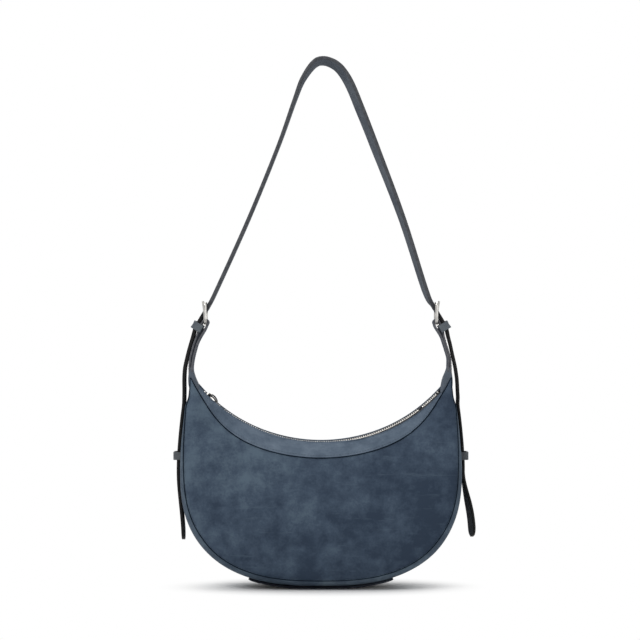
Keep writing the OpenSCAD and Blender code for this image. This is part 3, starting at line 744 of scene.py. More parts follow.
def make_nap_group():
    """Brushed leather: soft clouds, a finer mottling, scuffs and a nap, with a height for the bump.
    Tone shifts all of it between the light and the dark colour."""
    group, ins, outs = new_group(
        "brushed_leather",
        [
            ("Vector", "NodeSocketVector", None),
            ("Light", "NodeSocketColor", None),
            ("Middle", "NodeSocketColor", None),
            ("Dark", "NodeSocketColor", None),
            ("Scuffs", "NodeSocketFloat", 0.3),
            ("Tone", "NodeSocketFloat", 0.0),
        ],
        [("Color", "NodeSocketColor"), ("Roughness", "NodeSocketFloat"), ("Height", "NodeSocketFloat")],
    )
    vector = ins.outputs["Vector"]
    clouds = add_noise(group, vector, 22.0, 4.0, 0.55)
    mottle = add_noise(group, vector, 70.0, 3.0, 0.55)
    grain = add_noise(group, vector, 1400.0, 2.0, 0.6)
    nap = add_noise(group, vector, 420.0, 3.0, 0.6)
    tone = add_weighted(group, (clouds, 0.48), (mottle, 0.38), (nap, 0.14))
    tone = add_math(group, "ADD", tone, ins.outputs["Tone"])
    dark_part = add_range(group, tone, 0.37, 0.5, 0.0, 1.0)
    light_part = add_range(group, tone, 0.5, 0.63, 0.0, 1.0)
    base = add_mix(group, dark_part, ins.outputs["Dark"], ins.outputs["Middle"])
    base = add_mix(group, light_part, base, ins.outputs["Light"])
    streaks = add_noise(group, vector, 60.0, 3.0, 0.7, stretch=(0.35, 0.35, 2.4))
    scuffed = add_range(group, streaks, 0.6, 0.78, 0.0, 1.0)
    scuffed = add_math(group, "MULTIPLY", scuffed, ins.outputs["Scuffs"])
    base = add_mix(group, scuffed, base, ins.outputs["Light"])
    group.links.new(base, outs.inputs["Color"])
    group.links.new(add_range(group, mottle, 0.3, 0.7, 0.72, 0.9), outs.inputs["Roughness"])
    group.links.new(add_weighted(group, (grain, 0.45), (nap, 0.55)), outs.inputs["Height"])
    return group


nap_group = make_nap_group()


def new_material(name):
    material = bpy.data.materials.new(name)
    material.use_nodes = True
    tree = material.node_tree
    shader = tree.nodes["Principled BSDF"]
    where = add_node(tree, "TexCoord")
    return material, tree, shader, where


def add_bump(tree, shader, height, distance):
    bump = add_node(tree, "Bump", Distance=distance, Strength=1.0, Height=height)
    tree.links.new(bump.outputs["Normal"], shader.inputs["Normal"])


# Places along the strap, as shares of its length from its middle, between which painted shade comes in and
# darkens its tails; on the tails' edges the darkening is partly a darker edge paint
arch_end = 0.255
tail_begin = 0.28


def painted_shade_mask(tree, where):
    """1 on the strap's tails and up to the keepers, 0 on its arch: where painted shade darkens the strap."""
    along = split_vector(tree, where.outputs["UV"])[0]
    off_middle = add_math(tree, "ABSOLUTE", add_math(tree, "SUBTRACT", along, 0.5), 0.0)
    return add_range(tree, off_middle, arch_end, tail_begin, 0.0, 1.0, True)


def brushed_leather(name, light, middle, dark, scuffs=0.3, painted_slope=None, tails=None, gloss=0.12):
    """fade, the tone's slope per metre along X and Z and its level, paints light and shade; tails darkens the
    strap's ends as painted shade.
    """
    material, tree, shader, where = new_material(name)
    nap = add_node(tree, "Group")
    nap.node_tree = nap_group
    tree.links.new(where.outputs["Object"], nap.inputs["Vector"])
    for label, tone in (("Light", light), ("Middle", middle), ("Dark", dark)):
        nap.inputs[label].default_value = colour(*tone)
    nap.inputs["Scuffs"].default_value = scuffs
    # Painted light and shade: the tone slopes along X and Z, lighter towards the upper left on the panels
    if painted_slope:
        x, _, z = split_vector(tree, where.outputs["Object"])
        tone = add_weighted(tree, (x, painted_slope[0]), (z, painted_slope[1]))
        tree.links.new(add_math(tree, "ADD", tone, painted_slope[2]), nap.inputs["Tone"])
    base = nap.outputs["Color"]
    # Painted shade: the strap's tails and its runs down to the keepers are multiplied darker
    if tails:
        base = add_mix(tree, painted_shade_mask(tree, where), base, tails, "MULTIPLY")
    tree.links.new(base, shader.inputs["Base Color"])
    tree.links.new(nap.outputs["Roughness"], shader.inputs["Roughness"])
    shader.inputs["Specular IOR Level"].default_value = gloss
    add_bump(tree, shader, nap.outputs["Height"], 0.00012)
    return material


def painted_edge(name, light, dark, tails=None):
    """Edge paint on cut leather: darker, smoother, a little uneven."""
    material, tree, shader, where = new_material(name)
    uneven = add_noise(tree, where.outputs["Object"], 260.0, 3.0, 0.6)
    base = add_mix(tree, add_range(tree, uneven, 0.35, 0.65, 0.0, 1.0), colour(*dark), colour(*light))
    # The strap's tail edges are multiplied darker: partly a darker edge paint, partly painted shade
    if tails:
        base = add_mix(tree, painted_shade_mask(tree, where), base, tails, "MULTIPLY")
    tree.links.new(base, shader.inputs["Base Color"])
    tree.links.new(add_range(tree, uneven, 0.3, 0.7, 0.45, 0.65), shader.inputs["Roughness"])
    shader.inputs["Specular IOR Level"].default_value = 0.12
    add_bump(tree, shader, uneven, 0.00015)
    return material


def metal(name, light, dark, low_rough, high_rough, metallic=1.0):
    """Polished metal with fine wear, duller where it is darker."""
    material, tree, shader, where = new_material(name)
    wear = add_noise(tree, where.outputs["Object"], 320.0, 4.0, 0.6)
    share = add_range(tree, wear, 0.4, 0.7, 0.0, 1.0)
    tree.links.new(add_mix(tree, share, colour(*light), colour(*dark)), shader.inputs["Base Color"])
    tree.links.new(add_range(tree, wear, 0.35, 0.7, low_rough, high_rough), shader.inputs["Roughness"])
    shader.inputs["Metallic"].default_value = metallic
    add_bump(tree, shader, wear, 0.00002)
    return material


def woven(name, light, dark, pitch):
    """Plain weave: two crossed sets of threads pitch metres apart."""
    band_at_scale_one = 0.314
    material, tree, shader, where = new_material(name)
    threads = []
    for way in ("X", "Z"):
        scale = band_at_scale_one / pitch
        wave = add_node(tree, "TexWave", Scale=scale, Distortion=0.4, Vector=where.outputs["Object"])
        wave.wave_type = "BANDS"
        wave.bands_direction = way
        threads.append(wave.outputs["Fac"])
    height = add_math(tree, "MAXIMUM", threads[0], threads[1])
    tree.links.new(add_mix(tree, height, colour(*dark), colour(*light)), shader.inputs["Base Color"])
    tree.links.new(add_range(tree, height, 0.0, 1.0, 0.95, 0.75), shader.inputs["Roughness"])
    add_bump(tree, shader, height, 0.0001)
    return material


# Materials, in screen colours from light to dark; the tail factors multiply them darker: painted shade, on
# the edges partly a darker edge paint
# Painted light and shade on the panels: tone rises towards the upper left and falls towards the lower right
panel_painted_light = (-0.4, 0.7, -0.1)
tail_painted_shade = (0.35, 0.35, 0.35, 1)
tail_edge_paint_and_shade = (0.16, 0.15, 0.14, 1)
nubuck = brushed_leather("nubuck", (82, 97, 111), (62, 75, 91), (44, 56, 72), 0.45, painted_slope=panel_painted_light)
band_leather = brushed_leather("band_leather", (102, 115, 129), (86, 99, 114), (66, 79, 94))
gusset_leather = brushed_leather("gusset_leather", (92, 106, 118), (70, 83, 97), (52, 64, 78))
seam_leather = brushed_leather("seam_leather", (28, 40, 52), (16, 28, 40), (8, 18, 30), 0.1, gloss=0.05)
strap_leather = brushed_leather("strap_leather", (98, 104, 112), (84, 90, 98), (66, 72, 82), tails=tail_painted_shade)
# The core is darker than the tabs: partly its own dark leather, partly painted shade in the gap between the
# legs
dark_core_and_shade = brushed_leather("dark_core_and_shade", (44, 48, 56), (34, 37, 44), (24, 26, 32), 0.1)
neck_leather = brushed_leather("neck_leather", (98, 106, 116), (86, 94, 104), (72, 80, 90))
tab_leather = brushed_leather("tab_leather", (84, 92, 104), (70, 78, 90), (54, 62, 74))
base_leather = brushed_leather("base_leather", (52, 56, 66), (38, 41, 51), (26, 28, 38), 0.5)
loop_leather = brushed_leather("loop_leather", (104, 107, 110), (88, 91, 95), (70, 73, 78))
keeper_leather = brushed_leather("keeper_leather", (102, 109, 114), (90, 96, 102), (72, 78, 86))
strap_edge = painted_edge("strap_edge", (82, 84, 88), (62, 64, 68), tails=tail_edge_paint_and_shade)
cut_edge = painted_edge("cut_edge", (96, 97, 101), (74, 75, 80))
nickel = metal("nickel", (200, 198, 194), (150, 148, 144), 0.12, 0.22)
tooth_metal = metal("tooth_metal", (206, 203, 198), (150, 147, 142), 0.22, 0.36)
gunmetal = metal("gunmetal", (40, 40, 42), (26, 26, 28), 0.25, 0.4, 0.6)
tape_cloth = woven("tape_cloth", (40, 42, 47), (18, 19, 23), 0.0006)
lining_cloth = woven("lining_cloth", (92, 96, 108), (64, 68, 80), 0.0012)
board_cover = woven("board_cover", (70, 72, 80), (48, 50, 58), 0.0016)
thread = woven("thread", (74, 84, 98), (50, 58, 72), 0.0003)


# Panels: each one crescent of leather
def panel_place(seed):
    def place(u, v):
        t = (2 * u - 1) * t_end
        low = low_seam(t, edge)
        top = top_seam(t)
        height = (top - low).length
        top = top + (low - top) * min(narrow_share, edge / max(height, edge))
        point = low + v * (top - low)
        point.y -= panel_dome * height * v * (1 - v)
        span = (top - low).length
        from_seam = min(v, 1 - v) * span
        free = ease(0, wave_clear, from_seam)
        dip = math.exp(-v * span / dip_reach) + math.exp(-(1 - v) * span / dip_reach)
        point.y += seam_dip * dip * ease(0, dip_span, span)
        wave = noise.noise(Vector((point.x, seed, point.z)) * wave_scale)
        ripple = noise.noise(Vector((point.x, seed + ripple_seed, point.z)) * ripple_scale)
        point.y += (wave_depth * wave + ripple_depth * ripple) * free
        from_neck = Vector((fan_x - abs(point.x), 0, fan_z - point.z))
        fan = math.atan2(from_neck.z, max(1.0, from_neck.x))
        reach = from_neck.length
        fold = fan_depth * math.sin(fan * fan_folds + seed)
        point.y += fold * ease(*fan_starts, reach) * (1 - ease(*fan_ends, reach)) * free
        if seed == front_seed:
            away = (Vector((point.x, 0, point.z)) - dent).length / dent_r
            point.y += dent_depth * math.exp(-away * away) * ease(0, dent_clear, from_seam)
        return point

    return place


def make_panels():
    for (side, turn), seed in zip(FACES, (front_seed, back_seed)):
        panel = bent_grid(f"{side}_panel_leather", 190, 48, turn(panel_place(seed)))
        thicken(panel, leather_t, body_middle)
        finish_piece(panel, "bag", [nubuck], [f"{side}_panel"])


# Gusset and the piped seams
def gusset_place(u, v):
    t = (2 * u - 1) * gusset_end
    s = 2 * v - 1
    tuck = gusset_tuck * math.exp(-(1 - abs(s)) * gusset_half(t) / tuck_reach)
    wave = gusset_wave * noise.noise(Vector((t * waves_along, s * waves_across, gusset_seed))) * (1 - s * s)
    point = inset(t, crown(t) * abs(s) ** crown_power + tuck + wave * ease(0, wave_end, abs(t)))
    point.y = (gusset_half(t) - edge) * s
    return point


def make_gusset():
    gusset = bent_grid("gusset_leather", 180, 26, gusset_place)
    finish_piece(thicken(gusset, leather_t, body_middle), "bag", [gusset_leather], ["gusset"])
    steps = 160
    places = [t_end * (2 * i / steps - 1) for i in range(steps + 1)]
    lines = {"piping": [low_seam(t) for t in places], "seam": [top_seam(t) for t in places]}
    for name, line in lines.items():
        for point in line:
            point.y += cord_sunk
        for side, turn in FACES:
            cord = weld(bent_grid(f"{side}_{name}_cord", 260, 10, turn(tube_place(line, cord_r))))
            finish_piece(cord, "bag", [seam_leather], [f"{side}_{name}"], 80)


# Mouth bands, each one strip from the top seam over the fold to the zip
def band_edges(side, x):
    if side == "back":
        return BACK
    k = ease(bare_from, bare_to, x)
    return [(a[0] + (b[0] - a[0]) * k, a[1] + (b[1] - a[1]) * k) for a, b in zip(FRONT_LEFT, FRONT_RIGHT)]


def band_place(side):
    roll = ROLLS[side]

    def place(u, v):
        x = corner_x * (2 * u - 1)
        seam = seam_point(x)
        (fold_y, fold_rise), (rim_y, rim_rise) = band_edges(side, x)
        fold = chain_row(x, -fold_y, fold_rise, roll)
        rim = chain_row(x, -rim_y, rim_rise, roll)
        way = (fold - seam).normalized()
        out = Vector((0, -way.z, way.y)).normalized()
        start = seam + band_start * way - band_sunk * out
        middle = start + (fold - start) * 0.5 + band_bulge * out
        turn = fold + (rim - fold) * fold_share + fold_bulge * out
        return blend_points([start, middle, fold, turn, rim], v)

    return place


def open_with(piece):
    """Bakes a piece's placement into its mesh; the piece is attached to no body."""
    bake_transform(piece)


def above_chain(point):
    """The way that the stitches beside the zip face."""
    return Vector((-point.x, 3 * point.y, zip_z - point.z))


def off_seam(point):
    """The way that the stitches above the top seam face."""
    return Vector((0, point.y, 8))


# Name, place across the band, first and last place along it, and facing of its two rows of stitches
BAND_STITCHES = (
    ("zip_stitching", 0.8, 0.05, 0.95, above_chain),
    ("seam_stitching", 0.1, 0.03, 0.97, off_seam),
)


def make_bands():
    steps = 120
    for side, turn in FACES:
        place = turn(band_place(side))
        band = bent_grid(f"{side}_mouth_band", 170, 22, place)
        thicken(band, band_t, body_middle)
        finish_piece(band, None, [band_leather], [f"{side}_band", f"{side}_lip"])
        open_with(band)
        for name, across, first, last, outward in BAND_STITCHES:
            line = [place(first + (last - first) * i / steps, across) for i in range(steps + 1)]
            row = stitch_row(f"{side}_{name}", line, outward)
            finish_piece(row, None, [thread])
            open_with(row)


# Zip tapes beside the chain, and the metal of the zip's two fixed ends
def tape_place(x0, x1, high_y, roll):
    def place(u, v):
        x = x0 + (x1 - x0) * u
        return chain_row(x, -tape_low_y - (high_y - tape_low_y) * v, tape_t / 2, roll)

    return place


def make_tapes():
    for side, turn in FACES:
        roll = ROLLS[side]
        place = tape_place(-tape_end_x, tape_end_x, tape_high_y, roll)
        tape = bent_grid(f"{side}_zip_tape", 150, 8, turn(place))
        thicken(tape, tape_t, body_middle)
        finish_piece(tape, f"{side}_mouth", [tape_cloth], [f"{side}_tape"])
        for end, sign, _ in SIDES:
            place = tape_place(sign * tape_end_x, sign * end_tape_x, end_tape_y, roll)
            tape = bent_grid(f"{side}_{end}_tape_end", 24, 6, turn(place))
            thicken(tape, tape_t, body_middle)
            finish_piece(tape, "bag", [tape_cloth])


def make_zip_ends():
    """The teeth and stop of each end, taken over without their tapes, which are its longest parts."""
    for end in ("left", "right"):
        name = f"zip_end_{end}"
        piece = bpy.data.objects.new(f"{end}_end_teeth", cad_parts[name].data.copy())
        bpy.context.scene.collection.objects.link(piece)
        weld(piece, cap=False)
        bpy.ops.object.mode_set(mode="EDIT")
        bpy.ops.mesh.separate(type="LOOSE")
        bpy.ops.object.mode_set(mode="OBJECT")
        keep = []
        for part in list(bpy.context.selected_objects):
            across = [vertex.co.x for vertex in part.data.vertices]
            if max(across) - min(across) > longest_tooth * MM:
                bpy.data.objects.remove(part)
            else:
                keep.append(part)
        pick(keep[0])
        for part in keep:
            part.select_set(True)
        bpy.ops.object.join()
        teeth = bpy.context.object
        teeth.name = f"{end}_end_teeth"
        teeth.data.materials.clear()
        for polygon in teeth.data.polygons:
            polygon.material_index = 0
        finish_piece(teeth, "bag", [tooth_metal], [name], 30)


# Strap: one strip from tip to tip, through both buckles and over the shoulder
def half_strap(side):
    """Points from the top of the buckle's run down to the tail's tip, as if on the right side."""
    tip = TIPS[side]
    wide = Vector((side_x(wide_z), 0, wide_z))
    high_out, low_out = HANDLES_OUT[side]
    points = [run(s) for s in RUN_PLACES]
    points += [Vector((x, 0, z)) for x, z in FALL[side]]
    points += [Vector((side_x(z), 0, z)) for z in SIDE_LEVELS]
    start = wide - Vector((0, 0, tail_start))
    high = wide + Vector((high_out, 0, -tail_handle))
    low = tip + Vector((low_out, 0, tail_handle))
    return points + bezier(start, high, low, tip, tail_steps)


def half_turns(side, count):
    """Turn of the strap at each point of a half, in degrees: it comes in over the tail's upper points."""
    start = count - tail_steps
    return [TAIL_TURN[side] * ease(start - 1, start + tail_steps / 2, i) for i in range(count)]


def strap_line():
    """Points, turns and lengths of the whole strap, from the left tip to the right tip."""
    left = [Vector((-p.x, 0, p.z)) for p in half_strap("left")][::-1]
    right = half_strap("right")
    base = run(run_top)
    arch = [Vector((a * base.x, 0, base.z + b * (strap_top_z - base.z))) for a, b in ARCH_SHARES]
    line = left + arch + right
    turns = half_turns("left", len(left))[::-1] + list(ARCH_TURNS) + half_turns("right", len(right))
    spans = len(line) - 1
    finer = 6
    fine = []
    fine_turns = []
    for i in range(spans * finer + 1):
        fine.append(blend_points(line, i / finer / spans))
        k = min(i // finer, spans - 1)
        f = i / finer - k
        fine_turns.append(turns[k] * (1 - f) + turns[k + 1] * f)
    return fine, fine_turns, running_lengths(fine)


def strap_ring():
    """Round the strap's section as pairs of across and out, closed, and which stretches are its edges."""
    a = strap_w / 2
    b = strap_t / 2
    ring = []
    is_edge = []
    for turned in (1, -1):
        for i in range(face_steps + 1):
            ring.append((turned * (-a + edge_round + 2 * (a - edge_round) * i / face_steps), turned * b))
            is_edge.append(i == face_steps)
        for foot in (1, -1):
            for i in range(1 if foot > 0 else 0, round_steps + (foot > 0)):
                turn = math.pi / 2 * ((1 - i / round_steps) if foot > 0 else -i / round_steps)
                x = a - edge_round + edge_round * math.cos(turn)
                y = foot * (b - edge_round) + edge_round * math.sin(turn)
                ring.append((turned * x, turned * y))
                is_edge.append(True)
    ring.append(ring[0])
    return ring, is_edge


def strap_place(line, turns, lengths, ring):
    """Sweeps the ring along the strap, thinner on its tails and round at its tips."""
    total = lengths[-1]
    rows = len(ring) - 1
    half = strap_w / 2

    def at_length(length):
        low = min(max(bisect.bisect_right(lengths, length) - 1, 0), len(lengths) - 2)
        f = (length - lengths[low]) / max(1e-9, lengths[low + 1] - lengths[low])
        f = min(1.0, max(0.0, f))
        way = (line[min(low + 2, len(line) - 1)] - line[max(low - 1, 0)]).normalized()
        point = line[low] + (line[low + 1] - line[low]) * f
        return point, turns[low] * (1 - f) + turns[low + 1] * f, way

    def place(u, v):
        length = u * total
        point, turn, way = at_length(length)
        to_end = min(length, total - length)
        share = 1.0
        if to_end < half:
            share = max(blunt_tip, math.sqrt(half * half - (half - to_end) ** 2) / half)
        up = Vector((-way.z, 0, way.x))
        across = math.cos(math.radians(turn)) * Y - math.sin(math.radians(turn)) * up
        out = across.cross(way)
        y, z = ring[round(v * rows)]
        least = TAIL_SHARE["left" if u < 0.5 else "right"]
        thin = least + (1 - least) * ease(tail_length - thin_over, tail_length, to_end)
        return point + y * share * across + z * thin * out

    return place


def strap_punches():
    """Punches for the prong's slot beside each buckle and for the row of holes in each tail."""
    tools = []
    mid = run(slot_mid)
    for _, sign, _ in SIDES:
        centre = Vector((sign * mid.x, 0, mid.z))
        along = Vector((sign * down.x, 0, down.z))
        axis = Vector((sign * out_dir.x, 0, out_dir.z))
        tools.append(punch("slot", centre, along, axis, slot_r, slot_half_run))
        for z in HOLE_HEIGHTS:
            centre = Vector((sign * half_w, 0, z))
            tools.append(punch("hole", centre, Vector((0, 0, 1)), Vector((1, 0, 0)), hole_r, 0, hole_reach))
    return tools


def make_strap():
    line, turns, lengths = strap_line()
    ring, is_edge = strap_ring()
    rows = len(ring) - 1
    strap = weld(bent_grid("shoulder_strap", strap_steps, rows, strap_place(line, turns, lengths, ring)))
    two_slots(strap)
    around = strap.data.uv_layers[0].data
    for polygon in strap.data.polygons:
        v = sum(around[i].uv[1] for i in polygon.loop_indices) / polygon.loop_total
        polygon.material_index = int(is_edge[min(rows - 1, int(v * rows))])
    cut_holes(strap, strap_punches())
    nodes = ["strap_arch", "strap_end_left", "strap_end_right", "tail_left", "tail_right"]
    finish_piece(strap, None, [strap_leather, strap_edge], nodes, 35)
    swing(strap)
    print("strap length", round(lengths[-1]), "mm")


def swing(piece):
    """Bakes a piece's placement into its mesh; the piece is attached to no body."""
    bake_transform(piece)


# Tabs round the buckles' heel bars
def tab_points(side):
    outer = [Vector((x, 0, z)) for x, z in OUTER_LEG[side]]
    inner = [Vector((x, 0, z)) for x, z in INNER_LEG[side]]
    top = heel + wrap_r * out_dir
    along = [top + s * down for s in TAB_RUN]
    wrap = []
    for i in range(wrap_steps + 1):
        turn = strap_lean + (math.radians(wrap_end) - strap_lean) * i / wrap_steps
        wrap.append(heel + wrap_r * Vector((math.cos(turn), 0, math.sin(turn))))
    return outer + along + wrap + inner


def make_tab_core(side, flip):
    """The stiffener that fills the space between a tab's two legs, a little narrower than they are."""
    outer = [Vector((x, 0, z)) for x, z in (*OUTER_LEG[side], CORE_TOP_OUTER)]
    inner = [Vector((x, 0, z)) for x, z in (*INNER_LEG[side][:0:-1], CORE_TOP_INNER)]
    depth = strap_w / 2 - core_in

    def place(u, v):
        a = blend_points(inner, u)
        b = blend_points(outer, u)
        c, s = rounded(2 * math.pi * v, core_corner)
        half = max(0.5, (b - a).length / 2 - tab_t / 2 + core_bite)
        return (a + b) / 2 + c * half * (b - a).normalized() + Vector((0, s * depth, 0))

    core = weld(bent_grid(f"{side}_tab_core", 40, 32, flip(place)))
    finish_piece(core, None, [dark_core_and_shade])
    swing(core)


def tab_eye(sign):
    """Punch for the long eye through which the prong passes the tab."""
    mid = heel + Vector((0, 0, (eye_low + eye_high) / 2))
    centre = Vector((sign * mid.x, 0, mid.z))
    half_run = (eye_high - eye_low) / 2 - eye_w / 2
    return punch("eye", centre, Vector((0, 0, 1)), Vector((1, 0, 0)), eye_w / 2, half_run)


def stitch_tab(side, sign, line):
    """Two rows of stitches down the tab's outer leg."""
    steps = 40
    leg = [blend_points(line, tab_stitch_from + tab_stitch_share * i / steps) for i in range(steps + 1)]
    for face, way in (("front", -1), ("back", 1)):
        y = way * (strap_w / 2 - tab_stitch_in)
        spots = [Vector((sign * (p.x + tab_t / 2), y, p.z)) for p in leg]
        row = stitch_row(f"{side}_tab_{face}_stitching", spots, lambda p: Vector((sign, 0, 0.3)))
        finish_piece(row, None, [thread])
        swing(row)


def make_tabs():
    steps = 130
    for side, sign, flip in SIDES:
        line = even_line(tab_points(side), steps)

        def place(u, v, line=line):
            return blend_points(line, u) + Vector((0, strap_w * (v - 0.5), 0))

        tab = two_slots(bent_grid(f"{side}_tab", steps, 10, flip(place)))
        thicken(tab, tab_t, None, 0.0, 1)
        round_edges(tab, tab_round)
        cut_holes(tab, [tab_eye(sign)])
        finish_piece(tab, None, [tab_leather, cut_edge], [f"tab_{side}"], 40)
        swing(tab)
        make_tab_core(side, flip)
        stitch_tab(side, sign, line)


# Necks: the sewn block at each end of the mouth, round which panels, bands and gusset close
def make_necks():
    for side, _, flip in SIDES:
        levels = [Vector((inner, outer, z)) for z, inner, outer, _ in NECK[side]]
        depths = [Vector((depth, 0, 0)) for _, _, _, depth in NECK[side]]

        def place(u, v, levels=levels, depths=depths):
            inner, outer, z = blend_points(levels, u)
            depth = blend_points(depths, u).x
            x, y = rounded(2 * math.pi * v, neck_corner)
            return Vector(((inner + outer) / 2 + x * (outer - inner) / 2, y * depth, z))

        block = weld(bent_grid(f"{side}_neck_block", 22, 56, flip(place)))
        round_edges(block, neck_round, 3, 60)
        finish_piece(block, "bag", [neck_leather], [f"neck_{side}"], 60)


# Keepers, side loops and base patch
def make_keepers():
    low = -strap_t / 2 - lap_gap
    high = strap_off - wrap_r + tab_t / 2 + lap_gap
    centre = run(keeper_s) - (high + low) / 2 * out_dir
    half_y = strap_w / 2 + lap_gap + keeper_wall
    half_d = (high - low) / 2 + keeper_wall + keeper_room

    def place(u, v):
        y, d = rounded(2 * math.pi * v, keeper_corner)
        deep = d * (half_d + keeper_waist * math.cos(2 * math.pi * u))
        return centre + (u - 0.5) * keeper_length * down + deep * out_dir + Vector((0, y * half_y, 0))

    for side, sign, flip in SIDES:
        ring = two_slots(weld(bent_grid(f"{side}_keeper", 8, 80, flip(place)), cap=False))
        thicken(ring, keeper_wall, (sign * centre.x, 0, centre.z), rim=1)
        round_edges(ring, keeper_round, 3)
        finish_piece(ring, "strap", [keeper_leather, cut_edge], [f"keeper_{side}"])


def make_side_loops():
    x0 = outline_x(loop_z) - loop_sunk
    x1 = side_x(loop_z) + strap_t / 2 + loop_room + loop_wall
    half_y = strap_w / 2 + lap_gap + loop_wall

    def place(u, v):
        c, s = rounded(math.pi * (v - 0.5), loop_corner)
        return Vector((x0 + c * (x1 - x0), s * half_y, loop_z + (u - 0.5) * loop_length))

    for side, sign, flip in SIDES:
        loop = two_slots(bent_grid(f"{side}_side_loop", 8, 56, flip(place)))
        thicken(loop, loop_wall, (sign * x0, 0, loop_z), rim=1)
        round_edges(loop, loop_round, 3)
        finish_piece(loop, "bag", [loop_leather, cut_edge], [f"side_loop_{side}"])


def patch_point(x, share):
    """Point of the base patch's upper side: share runs from -1 to 1 across it."""
    past = max(0.0, abs(x) - (patch_half - patch_corner))
    half = patch_depth - patch_corner + math.sqrt(max(0.0, patch_corner**2 - past**2))
    return Vector((x, half * share, max(patch_t, floor_z(x) - patch_sunk)))


def patch_place(u, v):
    """The columns lie closer at the patch's round ends."""
    s = 2 * u - 1
    x = patch_half * math.copysign(abs(math.sin(math.pi / 2 * s)) ** 0.9, s)
    return patch_point(x, 2 * v - 1)


def make_base_patch():
    patch = bent_grid("base_patch_leather", 90, 20, patch_place)
    thicken(patch, patch_t, (0, 0, -half_w))
    round_edges(patch, patch_round, 3)
    finish_piece(patch, "bag", [base_leather], ["base_patch"])
    steps = 60
    reach = patch_half - patch_stitch_in
    ahead = [patch_point(reach * (2 * i / steps - 1), patch_stitch_share) for i in range(steps + 1)]
    behind = [Vector((p.x, -p.y, p.z)) for p in reversed(ahead)]
    line = [Vector((p.x, p.y, p.z - patch_t)) for p in ahead + behind + ahead[:1]]
    row = stitch_row("base_patch_stitching", line, lambda point: Vector((0, 0, -1)), 3.6, 2.6, 0.6, 0.0)
    for vertex in row.data.vertices:
        vertex.co.z = max(vertex.co.z, 0.0)
    finish_piece(row, "bag", [thread])


def make_lining():
    off = leather_t + lining_gap
    panel = panel_place(front_seed)

    def half(u, v):
        p = panel((u - 0.5) / t_end + 0.5, lining_low + lining_share * v)
        return Vector((p.x * lining_draw, p.y + off, p.z))

    def around(u, v):
        t = 2 * u - 1
        s = (2 * v - 1) * lining_across
        p = inset(t, crown(t) * abs(s) ** crown_power + off)
        p.y = (gusset_half(t) - edge) * s
        return p

    for side, turn in FACES:
        cloth = bent_grid(f"{side}_lining", 70, 22, turn(half))
        thicken(cloth, lining_t, body_middle)
        finish_piece(cloth, "bag", [lining_cloth], ["lining"] if side == "front" else ())
    cloth = bent_grid("gusset_lining", 80, 16, around)
    thicken(cloth, lining_t, body_middle)
    finish_piece(cloth, "bag", [lining_cloth])


# Finishes of the CAD's hard pieces that stay
FINISHES = {
    "front_teeth": tooth_metal,
    "back_teeth": tooth_metal,
    "zip_slider": nickel,
    "zip_puller": gunmetal,
    "base_board": board_cover,
    "frame_left": nickel,
    "frame_right": nickel,
    "prong_left": nickel,
    "prong_right": nickel,
}


def dress_metal():
    for name, material in FINISHES.items():
        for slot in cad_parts[name].material_slots:
            slot.material = material


# Room, in metres: floor, soft lamps and the camera at the photograph's place
floor_size = 12
shadow_near = 0.045
shadow_far = 0.105
world_light = 0.36
camera_place = (-0.001, -2.6, 0.2986)
camera_lens = 130.6
aim = Vector((0, 0, 0.2))
WHITE = (1, 1, 1, 1)

# Name, place, size and power of each lamp
LAMPS = (
    ("key", (-1.6, -1.9, 2.3), 1.5, 44),
    ("fill", (1.9, -2.2, 0.9), 1.6, 10),
    ("top", (0, 0.2, 2.6), 2.0, 24),
    ("back", (0.6, 2.2, 1.6), 1.6, 12),
)


def seen_share(tree):
    """1 for what the camera sees, also by reflection or through glass, else 0."""
    path = add_node(tree, "LightPath")
    first = add_math(tree, "MAXIMUM", path.outputs["Is Camera Ray"], path.outputs["Is Glossy Ray"])
    return add_math(tree, "MAXIMUM", first, path.outputs["Is Transmission Ray"])


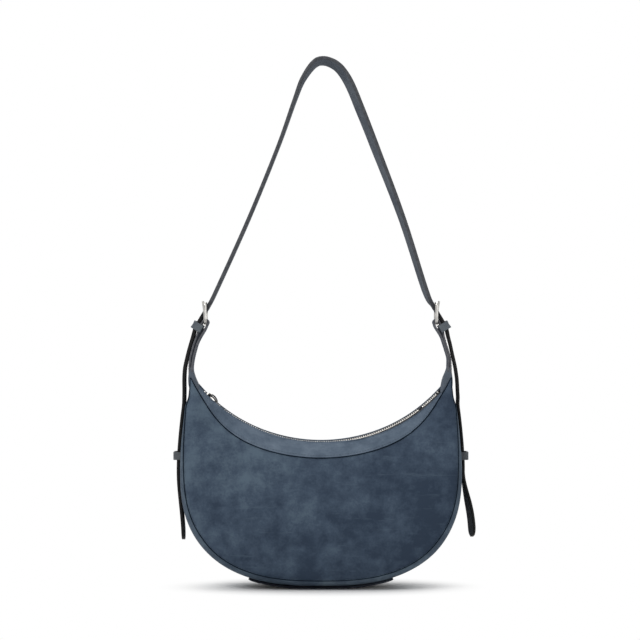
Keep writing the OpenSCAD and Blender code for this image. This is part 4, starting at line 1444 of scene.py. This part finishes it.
def make_floor():
    """White paper that keeps the bag's shadow close round its foot."""
    deselect()
    bpy.ops.mesh.primitive_plane_add(size=floor_size, location=(0, floor_size / 4, 0))
    bpy.ops.object.transform_apply(location=True)
    floor = bpy.context.object
    floor.name = "floor"
    material, tree, shader, where = new_material("floor_paper")
    shader.inputs["Base Color"].default_value = (0.96, 0.96, 0.955, 1)
    shader.inputs["Roughness"].default_value = 0.9
    squeeze = add_node(tree, "Mapping", Scale=(0.55, 1.0, 0.0), Vector=where.outputs["Object"])
    away = add_node(tree, "VectorMath")
    away.operation = "LENGTH"
    tree.links.new(squeeze.outputs["Vector"], away.inputs[0])
    far = add_range(tree, away.outputs["Value"], shadow_near, shadow_far, 0.0, 1.0, True)
    white = add_node(tree, "Emission", Color=WHITE)
    mix = add_node(tree, "MixShader")
    tree.links.new(add_math(tree, "MULTIPLY", far, seen_share(tree)), mix.inputs["Fac"])
    tree.links.new(shader.outputs["BSDF"], mix.inputs[1])
    tree.links.new(white.outputs["Emission"], mix.inputs[2])
    tree.links.new(mix.outputs["Shader"], tree.nodes["Material Output"].inputs["Surface"])
    floor.data.materials.append(material)


def make_lamps():
    for name, place, size, power in LAMPS:
        bpy.ops.object.light_add(type="AREA", location=place)
        lamp = bpy.context.object
        lamp.name = name
        lamp.data.size = size
        lamp.data.energy = power
        lamp.rotation_euler = (aim - Vector(place)).to_track_quat("-Z", "Y").to_euler()


def make_world():
    """Soft light all round, behind which the camera sees white."""
    world = bpy.data.worlds.new("studio")
    bpy.context.scene.world = world
    world.use_nodes = True
    tree = world.node_tree
    light = tree.nodes["Background"]
    light.inputs["Color"].default_value = WHITE
    light.inputs["Strength"].default_value = world_light
    seen = add_node(tree, "Background", Color=WHITE)
    mix = add_node(tree, "MixShader")
    tree.links.new(seen_share(tree), mix.inputs["Fac"])
    tree.links.new(light.outputs[0], mix.inputs[1])
    tree.links.new(seen.outputs[0], mix.inputs[2])
    tree.links.new(mix.outputs[0], tree.nodes["World Output"].inputs["Surface"])


def make_camera():
    bpy.ops.object.camera_add(location=camera_place, rotation=(math.pi / 2, 0, 0))
    camera = bpy.context.object
    camera.data.sensor_width = 36
    camera.data.lens = camera_lens
    bpy.context.scene.camera = camera
    bpy.context.scene.view_settings.view_transform = "Standard"


make_floor()
make_lamps()
make_world()
make_camera()
make_panels()
make_gusset()
make_bands()
make_tapes()
make_zip_ends()
make_strap()
make_tabs()
make_necks()
make_keepers()
make_side_loops()
make_base_patch()
make_lining()
dress_metal()
